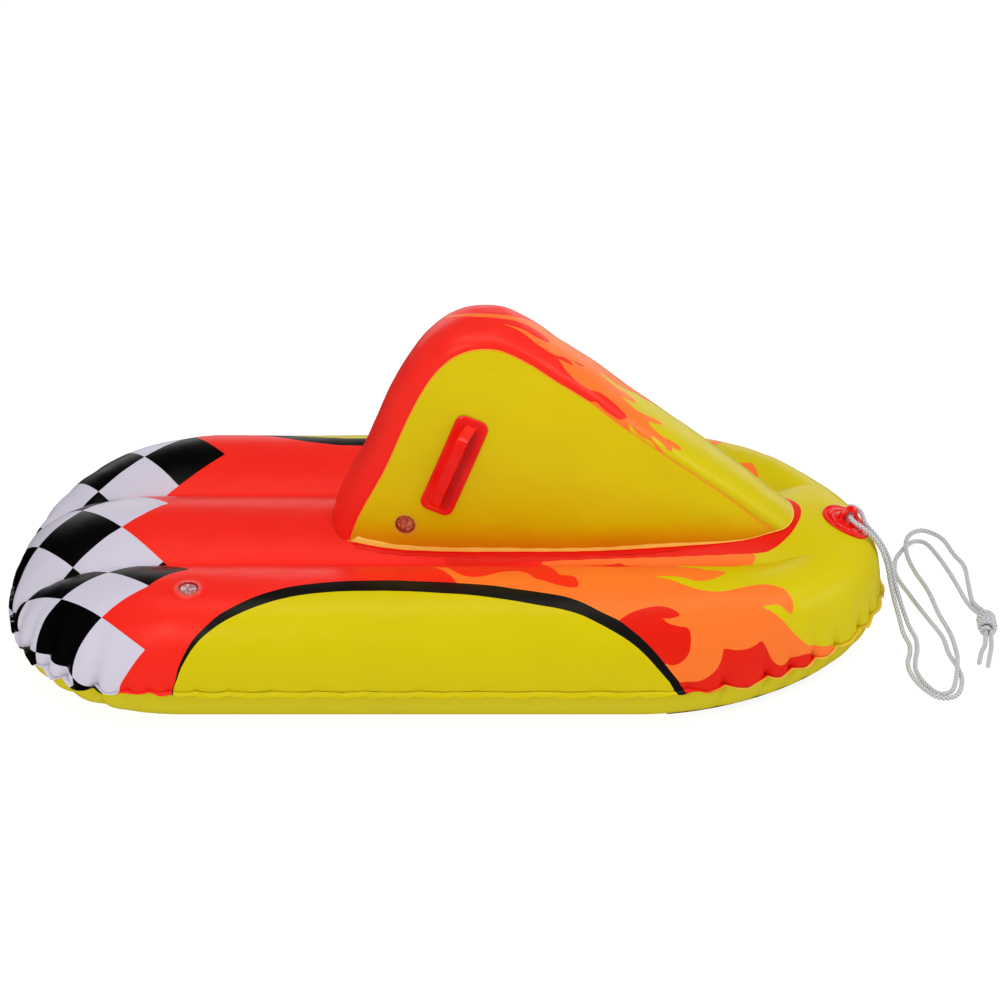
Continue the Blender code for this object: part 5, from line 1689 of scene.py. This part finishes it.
loop, loop_out, loop_length = foot_loop()
walk = np.arange(len(loop)) * loop_length / len(loop)
wave = np.sin(2 * math.pi * walk / 0.037 + 1.7 * np.sin(walk * 19.0))
along_loop = (loop[:, 0] - console_rear_x) / console_length
show = np.clip(along_loop / 0.02, 0.1, 1) * (1 - 0.85 * ramp(along_loop, 0.72, 0.94))
foot_profile = rows_from([
    # outward, up
    -16, 3, -7, 96, 2, 106, 11, 103, 22, 84, 30, 62, 35, 46, 35, 42, 40, 22, 52, 8, 62, 1,
])
strip_rings = []
for reach, rise in foot_profile:
    out = reach * (1 + 0.08 * wave) * np.where(reach > 0, show, 1.0)
    ring = loop + loop_out * out[:, None]
    lifted = deck_height(ring[:, 0], ring[:, 1]) + 0.0003
    lifted = lifted + (rise + 0.0002 * wave * (rise > 0.002)) * show
    strip_rings.append(np.concatenate([ring, lifted[:, None]], 1))
lift = np.broadcast_to(foot_profile[:, 1:], (len(foot_profile), len(loop)))
item = grid_mesh(
    "console_foot_strip", np.stack(strip_rings), False, {"lift": lift}, loop_columns=True
)
finish_piece(item, foot_material, nodes=["console_base_flange"])

# %% [markdown]
# ## Moulded fittings
# The handles, the tow patch and the valves are moulded in soft plastic, glossier than the sheet,
# with the faint flow marks of the mould.

# %% Moulding materials
def moulded(name, low, high, rough=0.26, darker_tone=None):
    """Soft moulded plastic: two close tones in slow flow marks, fine grain and a clean gloss.

    With a darker tone given, the colour darkens to it along a point attribute: painted shadow under
    the strap and a darker cut edge.
    """
    shader = Shader(name)
    flow = shader.noise(26.0, 3.0, 0.6)
    tone = shader.mix(shader.spread(flow, 0.35, 0.65, 0.0, 1.0), low, high)
    # Painted shade: the tone darkens where the attribute is 1.
    if darker_tone is not None:
        tone = shader.mix(shader.attribute("trough"), tone, darker_tone)
    return shader.dress({
        "Base Color": tone,
        "Roughness": shader.spread(flow, 0.3, 0.7, rough - 0.03, rough + 0.05),
        "Normal": shader.bump(shader.noise(700.0, 2.0), 0.00005, 0.5),
    })


# The last tone is the handle's painted shadow under the strap and its darker cut edge.
handle_material = moulded("moulded_red", srgb(236, 16, 6), srgb(246, 24, 12), 0.2, srgb(206, 4, 3))


def clear_part(name, low, high, opacity, wall=None):
    """Clear soft plastic seen as a pale film: cloudy tone, wavy gloss and part opacity.

    Where the attribute `wall` is 1 the film is backed by the deeper tone `wall`.
    """
    shader = Shader(name)
    cloud = shader.noise(260.0, 3.0, 0.65)
    tone = shader.mix(shader.spread(cloud, 0.42, 0.6, 0.0, 1.0), low, high)
    see = shader.spread(cloud, 0.4, 0.65, opacity * 0.7, min(1.0, opacity * 1.25))
    if wall is not None:
        backed = shader.attribute("wall")
        tone = shader.mix(backed, tone, wall)
        see = shader.math("MAXIMUM", see, backed)
    wavy = shader.bump(shader.noise(190.0), 0.0009, 0.8)
    return shader.dress({
        "Base Color": tone,
        "Alpha": see,
        "Roughness": 0.14,
        "Specular IOR Level": 0.9,
        "Normal": shader.bump(cloud, 0.0002, 0.5, wavy),
    })


hull_well_material = clear_part(
    "clear_hull_valve_well", srgb(250, 150, 140), srgb(255, 226, 220), 0.06, srgb(196, 8, 8)
)
console_well_material = clear_part(
    "clear_console_valve_well", srgb(248, 222, 60), srgb(255, 238, 120), 0.06, srgb(176, 48, 18)
)
hull_plug_material = clear_part(
    "clear_hull_valve_plug", srgb(196, 120, 126), srgb(238, 206, 212), 0.86
)
# The console plug is clear plastic; its brown-red tones are a painted red reflection.
console_plug_painted_reflection = clear_part(
    "clear_console_valve_plug_red_reflection", srgb(186, 84, 44), srgb(232, 148, 118), 0.92
)
strip_material = vinyl(Shader("rubbed_black_strip"), srgb(12, 11, 12), 0.55, 0.12)
web_material = vinyl(Shader("vinyl_inner_web"), srgb(214, 206, 150), 0.45)
print("clear plastics:", hull_plug_material.name, console_plug_painted_reflection.name)

# %% [markdown]
# ## Handles
# Each handle is one moulding: a thin plate with rounded corners, welded to the panel, with a
# low rounded edge round a shallow dish, and a strap that springs off it on two leaning legs. The
# strap has hung over a little toward the rear with use.

# %% Handle plate
def rounded_loop(length, width, radius, corner=12, long_side=28, short_side=9):
    """Closed rounded rectangle (along, across), the same number of points for every size."""
    radius = max(radius, 0.0002)
    half = np.array([length / 2 - radius, width / 2 - radius])
    turn = np.linspace(0, math.pi / 2, corner)
    signs = ((1, 1), (-1, 1), (-1, -1), (1, -1))
    pieces = []
    for number, sign in enumerate(signs):
        angle = turn + number * math.pi / 2
        arc = np.stack([np.cos(angle), np.sin(angle)], 1) * radius + half * sign
        next_corner = half * signs[(number + 1) % 4]
        next_start = next_corner + radius * np.array([np.cos(angle[-1]), np.sin(angle[-1])])
        share = np.linspace(0, 1, (short_side if number % 2 else long_side) + 2)[1:-1, None]
        pieces += [arc, arc[-1] * (1 - share) + next_start * share]
    return np.concatenate(pieces)


plate_size = (0.136, 0.042, 0.0115)
handle_bound = rounded_loop(*plate_size)
print("handle plate outline has", len(handle_bound), "points")


def on_panel(local, side, trail=0.0):
    """Carry handle points (along, across, off) onto the bulged side panel.

    `trail` leans what stands off the panel toward the rear, in metres per metre off.
    """
    along, across, off = local[..., 0], local[..., 1], local[..., 2]
    middle_x, middle_z = handle_centre
    x = middle_x + along * math.sin(handle_lean) + across * math.cos(handle_lean)
    z = middle_z + along * math.cos(handle_lean) - across * math.sin(handle_lean)
    low, high = (float(panel_half_width(middle_x, middle_z + k)) for k in (-0.041, 0.041))
    y = panel_face(x, z) + 0.0008 + off
    return np.stack([x - trail * off, side * y, z - off * (high - low) / 0.082], -1)


plate_profile = rows_from([
    # inset from the edge, height
    100, 0, 30, 0, 4, 0, 0, 3, 0, 9, 3, 16, 9, 22, 18, 26, 30, 27, 44, 25, 60, 22, 80, 20, 110, 19,
    150, 19, 208, 19,
])


def handle_plate(side):
    """Plate surface: loops of the rounded rectangle, inset and raised along the edge's profile.

    The attribute is a bell across the dish ahead of the strap, the strap's painted shadow, and
    1 on the cut edge, which is painted a darker red.
    """
    rows = []
    for inset, height in plate_profile:
        loop_here = rounded_loop(*(np.array(plate_size) - inset * np.array([2, 2, 1])))
        rows.append(np.concatenate([loop_here, np.full((len(loop_here), 1), height)], 1))
    local = np.stack(rows)
    # Painted shadow of the strap across the dish, and a darker red on the cut edge.
    trough = bell(local[..., 1] - 0.0065, 0.0075) * ramp(np.abs(local[..., 0]), 0.062, 0.050)
    trough[2:5] = 1.0
    return on_panel(local, side), {"trough": trough}


strap_route = rows_from([
    -575, 0, 8, -560, 0, 55, -520, 0, 150, -480, 0, 228, -430, 0, 262, -360, 0, 270, -180, 0, 268,
    0, 0, 266, 180, 0, 268, 360, 0, 270, 430, 0, 262, 480, 0, 228, 520, 0, 150, 560, 0, 55,
    575, 0, 8,
], 3)

# %% [markdown]
# The strap is a flat bar bent over twice, with beaded edges that spare the fingers. It is
# swept along one line, and the tow hood below is made with the same function.

# %% Handle strap
def superellipse(around, power):
    """Signed powers of cosine and sine round a circle: the section |u|^(2/p) + |w|^(2/p) = 1."""
    turn = angles(around)
    return [np.sign(side) * np.abs(side) ** power for side in (np.cos(turn), np.sin(turn))]


def swept_bar(line, half_wide, half_thick, section, lip, flare, outward=1):
    """Bar swept along a line in the plane of its first and third axes, with a lip on both edges.

    Half width: half_wide u flare. Half thickness: half_thick w flare (base + rise
    exp(-((|u| - middle) / spread)^2)), with lip = (base, rise, middle, spread).
    """
    heading = unit(np.gradient(line, axis=0))
    raised = outward * np.stack([-heading[:, 2], np.zeros(len(line)), heading[:, 0]], 1)
    u, w = section
    base, rise, middle, spread = lip
    bead = base + rise * bell(np.abs(u) - middle, spread)
    across = (half_wide * u * flare[:, None])[..., None]
    thick = (half_thick * w * bead * flare[:, None])[..., None]
    return line[:, None] + np.array([0.0, 1.0, 0.0]) * across + raised[:, None] * thick


def handle_strap(side):
    """Strap swept along its route: section 13.2 x 2.8 mm, |u|^5 + |w|^5 = 1, with beaded edges.

    The section widens by a third over the last 5 mm above the plate.
    """
    line, _ = smooth_line(strap_route, sweep_step)
    flare = 1 + 0.33 * np.exp(-line[:, 2] / 0.004)
    lip = (0.80, 0.34, 0.86, 0.10)
    bar = swept_bar(line, 0.0066, 0.0014, superellipse(40, 0.4), lip, flare)
    return on_panel(bar, side, trail=0.30)


handle_nodes = by_side("handle_left", "handle_right")
for side, name in ((-1, "near"), (1, "far")):
    points, layers = handle_plate(side)
    plate = grid_mesh(f"handle_plate_{name}", points, side < 0, layers, loop_columns=True)
    sweep = handle_strap(side)
    strap = grid_mesh(f"handle_strap_{name}", sweep, side < 0, loop_columns=True)
    for item, columns in ((plate, len(handle_bound)), (strap, sweep.shape[1])):
        cap_ends(item, columns)
        finish_piece(weld(item), handle_material, nodes=[handle_nodes[side]])

# %% [markdown]
# ## Tow patch
# A round patch welded on the nose, with two raised rings, carries a thick hood. The doubled rope
# runs through the hood.

# %% Tow patch
def eased(profile, ease, closed=False):
    """Profile of radii and heights with every corner cut by a small round of three points."""
    points = rows_from(profile)
    if closed:
        points = np.concatenate([points[-1:], points, points[:1]])
    corner = points[1:-1]
    sides = []
    for side in (points[:-2] - corner, points[2:] - corner):
        reach = np.linalg.norm(side, axis=1)[:, None]
        sides.append(corner + side / reach * np.minimum(ease, 0.4 * reach))
    first, last = sides
    inner = np.stack([first, (first + 2 * corner + last) / 4, last], 1).reshape(-1, 2)
    return inner if closed else np.concatenate([points[:1], inner, points[-1:]])


def in_frame(local, frame):
    """World points of frame-local ones."""
    origin, *directions = frame
    return origin + sum(local[..., k:k + 1] * way for k, way in enumerate(directions))


def laid(local, frame, above, share=1.0):
    """Local points moved along the normal until their base plane lies on the surface.

    `above` gives the height of world points over that surface; `share` fades the move.
    """
    lift = np.zeros(local.shape[:-1])
    for _ in range(12):
        flat = np.stack([local[..., 0], local[..., 1], lift], -1)
        lift = lift - above(in_frame(flat, frame)) * 0.8
    moved = local.copy()
    moved[..., 2] += lift * share
    return in_frame(moved, frame)


def over_deck(world):
    """Height of world points over the deck."""
    return world[..., 2] - deck_height(world[..., 0], world[..., 1])


def over_panel(world):
    """Distance of world points off the side panels."""
    return np.abs(world[..., 1]) - panel_face(world[..., 0], world[..., 2])


def revolved(profile, around=96):
    """Local surface of revolution (r cos t, r sin t, h) of a profile's (r, h) rows."""
    radius, height = profile.T
    wide = radius[:, None] * np.cos(angles(around))
    darker_tone = radius[:, None] * np.sin(angles(around))
    return np.stack([wide, darker_tone, np.broadcast_to(height[:, None], wide.shape)], -1)

print("tow patch stands at", tow_frame[0].round(3))

# %% [markdown]
# The disc is turned from one profile and laid on the deck, point by point, so that it
# follows the nose. The hood is a bar swept over half a ring.

# %% Tow disc and hood
disc_profile = eased([
    # radius, height
    0, 19, 140, 19, 165, 13, 198, 13, 208, 23, 222, 23, 232, 13, 292, 13, 300, 24, 318, 24,
    325, 14, 325, 3, 200, 3, 0, 3,
], 0.0004)


def tow_hood(steps=90):
    """Hood swept over a half ring: section 11.6 x 4.2 mm with a lip along both mouths.

    The middle line is x = 9.4 mm cos t, h = 1 + 17.4 mm sin(t)^0.8, and it widens at its feet.
    """
    t = np.linspace(0, math.pi, steps)
    height = 0.0010 + 0.0174 * np.sin(t).clip(0) ** 0.8
    line = np.stack([0.0094 * np.cos(t), np.zeros(steps), height], 1)
    flare = 1 + 0.35 * np.exp(-(height - 0.001) / 0.003)
    lip = (0.86, 0.26, 0.9, 0.14)
    return swept_bar(line, 0.0058, 0.0021, superellipse(36, 0.55), lip, flare, outward=-1)


disc_local = revolved(disc_profile, 120)
disc = grid_mesh("tow_patch", laid(disc_local, tow_frame, over_deck), True, loop_columns=True)
finish_piece(weld(disc), handle_material, nodes=["tow_fitting"])
hood_local = tow_hood()
hood = grid_mesh("tow_hood", laid(hood_local, tow_frame, over_deck), False, loop_columns=True)
cap_ends(hood, hood_local.shape[1])
finish_piece(hood, handle_material, nodes=["tow_fitting"])

# %% [markdown]
# ## Valves
# Each valve is a clear welded well with a stem that pushes in, a plug with a finger tab, and a
# small check flap behind.

# %% Valves
well_profile = eased([
    178, 3, 178, 10, 160, 12, 145, 9, 120, 12, 113, 9, 113, -151, 84, -151, 84, -160, 122, -160,
    122, 3,
], 0.0003, closed=True)
stem_profile = eased([
    80, -42, 80, -288, 98, -288, 98, -302, 67, -302, 67, -42,
], 0.0003, closed=True)
plug_profile = eased([
    0, -23, 50, -22, 62, -18, 103, -18, 112.5, -26, 112.5, -39, 64, -39, 64, -119, 55, -119,
    55, -47, 0, -47,
], 0.0003)
well_bore_radius = 0.0113
print("valve well is", round(float(-well_profile[:, 1].min()) * 1000, 1), "mm deep")


def finger_tab(around=28, steps=26):
    """Tab across the plug: a bar of 6 x 3.6 mm at its foot, rounded over its top.

    Section at height share k is a superellipse |u|^3 + |w|^3 = 1 shrunk by sqrt(1 - k^4).
    """
    u, w = superellipse(around, 0.67)
    share = np.sin(np.linspace(0, math.pi / 2, steps))[:, None]
    size = np.sqrt(np.clip(1 - share ** 4, 0, 1))
    height = np.broadcast_to(-0.0026 + 0.0023 * share, (steps, around))
    return np.stack([0.0030 * u * size, 0.0018 * w * size, height], -1)

# %% [markdown]
# The well stays in the sheet, the stem and the plug ride on bodies of their own. Every
# piece is turned about the axis of its valve, so that it slides true.

# %% Valve pieces
for prefix, frame_here, above, well_finish, plug_finish in (
    ("hull", hull_valve_frame, over_deck, hull_well_material, hull_plug_material),
    ("console", console_valve_frame, over_panel, console_well_material, console_plug_painted_reflection),
):
    local = revolved(well_profile)
    from_axis = np.hypot(local[..., 0], local[..., 1])
    outside = ramp(from_axis, well_bore_radius, well_bore_radius + 0.0009)
    share = outside * (local[..., 2] > -0.002)
    wall = ramp(local[..., 2], 0.0006, 0.0001) * (share < 0.99)
    wall = np.maximum(wall, ramp(from_axis, 0.0125, 0.0122))
    well = grid_mesh(
        f"{prefix}_valve_well", laid(local, frame_here, above, share), False,
        {"wall": wall}, loop_rows=True, loop_columns=True,
    )
    finish_piece(well, well_finish, nodes=[f"{prefix}_valve_body"])
    for suffix, local, moves, ring in (
        ("tube", revolved(stem_profile), "stem", True),
        ("cap", revolved(plug_profile), "plug", False),
        ("tab", finger_tab(), "plug", False),
    ):
        item = grid_mesh(
            f"{prefix}_valve_{suffix}", in_frame(local, frame_here), True,
            loop_rows=ring, loop_columns=True,
        )
        if suffix == "tab":
            cap_ends(item, local.shape[1])
        finish_piece(
            weld(item), plug_finish, body=f"{prefix}_valve_{moves}_body",
            nodes=[f"{prefix}_valve_{moves}"],
        )

# %% [markdown]
# ## Nose strip
# A black rub strip is bonded to the lower sheet under the nose, where the sled strikes the snow.

# %% Nose strip
def nose_strip(thickness=0.0008, rows=9):
    """Strip over the lower sheet: outer face between two shares of its turn, then its inner one.

    It narrows toward both ends: width = full (0.25 + 0.75 (1 - |u|^3)).
    """
    quarter_count = int(len(outline) / 4 * 0.56)
    chosen = np.arange(-quarter_count, quarter_count + 1) % len(outline)
    point, direction = outline[chosen], outline_out[chosen]
    low_share, high_share = 0.555, 0.83
    taper = 1 - np.abs(np.linspace(-1, 1, len(chosen))) ** 3
    spread = (high_share - low_share) / 2 * (0.25 + 0.75 * taper)
    outer = []
    for share in np.linspace(-1, 1, rows):
        angle = ((high_share + low_share) / 2 + spread * share) * math.pi / 2
        inset = 1 - np.cos(angle)
        away = gap + thickness * (1 - 0.4 * abs(share) ** 6)
        x = point[:, 0] * (1 - bottom_nose_inset * inset / half_length)
        y = point[:, 1] * (1 - bottom_side_inset * inset / half_width)
        z = bottom_seam_height * (1 - np.sin(angle)) - away * np.sin(angle)
        flat = np.stack([x, y], 1) + direction * (away * np.cos(angle))[:, None]
        outer.append(np.concatenate([flat, z[:, None]], 1))
    outer = np.stack(outer)
    outer[..., 2] = np.maximum(outer[..., 2], 0.0001)
    inner = outer[::-1].copy()
    inner[..., 2] += thickness * 0.5
    inner[..., :2] -= direction * thickness * 0.6
    return np.concatenate([outer, inner])


item = grid_mesh("nose_strip_skin", nose_strip(), True, loop_rows=True)
finish_piece(item, strip_material, nodes=["nose_rub_strip"])
carried = (
    (web_material, ("hull_web_left", "hull_web_right")),
    (hull_plug_material, ("hull_valve_flap", "console_valve_flap")),
)
for material, names in carried:
    for name in names:
        slots = frame["nodes"][name].material_slots
        for slot_place in slots:
            slot_place.material = material
        if not slots:
            frame["nodes"][name].data.materials.append(material)
print("carried-over solids with new materials:", sum(len(names) for _, names in carried))

# %% [markdown]
# ## Stage and light
# A pale floor and soft light from overhead and both sides, as in a product photograph.

# %% Stage
floor_mesh = bpy.data.meshes.new("floor")
floor_mesh.from_pydata([(-14, -14, 0), (14, -14, 0), (14, 30, 0), (-14, 30, 0)], [], [(0, 1, 2, 3)])
floor = bpy.data.objects.new("floor", floor_mesh)
floor.location.z = -0.0005
bpy.context.scene.collection.objects.link(floor)
floor_shader = Shader("floor_pale")
white = (1.0, 1.0, 1.0, 1.0)
patchy = floor_shader.mix(floor_shader.noise(3.0), srgb(136, 136, 136), srgb(130, 130, 130))
floor_shader.dress({
    "Base Color": patchy,
    "Roughness": 0.8,
    "Specular IOR Level": 0.0,
    "Emission Color": white,
    "Emission Strength": 0.89,
})
floor_mesh.materials.append(floor_shader.material)

world = bpy.data.worlds.new("studio")
world.use_nodes = True
background = world.node_tree.nodes["Background"]
background.inputs["Color"].default_value = white
background.inputs["Strength"].default_value = 0.44
world.cycles_visibility.glossy = False
floor.visible_glossy = False
bpy.context.scene.world = world
bpy.context.scene.view_settings.view_transform = "Standard"


def soft_box(name, place, aim, size, power):
    """Rectangular area light at a place, turned to face its aim."""
    light = bpy.data.lights.new(name, "AREA")
    light.shape = "RECTANGLE"
    light.size, light.size_y = size
    light.energy = power
    item = bpy.data.objects.new(name, light)
    bpy.context.scene.collection.objects.link(item)
    item.location = place
    item.rotation_euler = (Vector(aim) - Vector(place)).to_track_quat("-Z", "Y").to_euler()


# name, place, aim, width and depth, watts
for light_setting in (
    ("overhead", (0.0, -0.35, 2.6), (0.0, 0.0, 0.1), (3.0, 1.3), 26.0),
    ("backdrop", (0.6, 3.8, 0.6), (0.1, 0.0, 0.3), (6.0, 1.8), 38.0),
    ("left_front", (-1.3, -2.6, 1.9), (0.0, 0.0, 0.15), (1.0, 0.7), 22.0),
    ("right_low", (3.0, -0.15, 0.64), (0.46, -0.15, 0.13), (0.9, 0.45), 7.0),
    ("right_high", (2.1, -0.4, 1.75), (0.2, -0.05, 0.3), (0.8, 0.8), 10.0),
):
    soft_box(*light_setting)
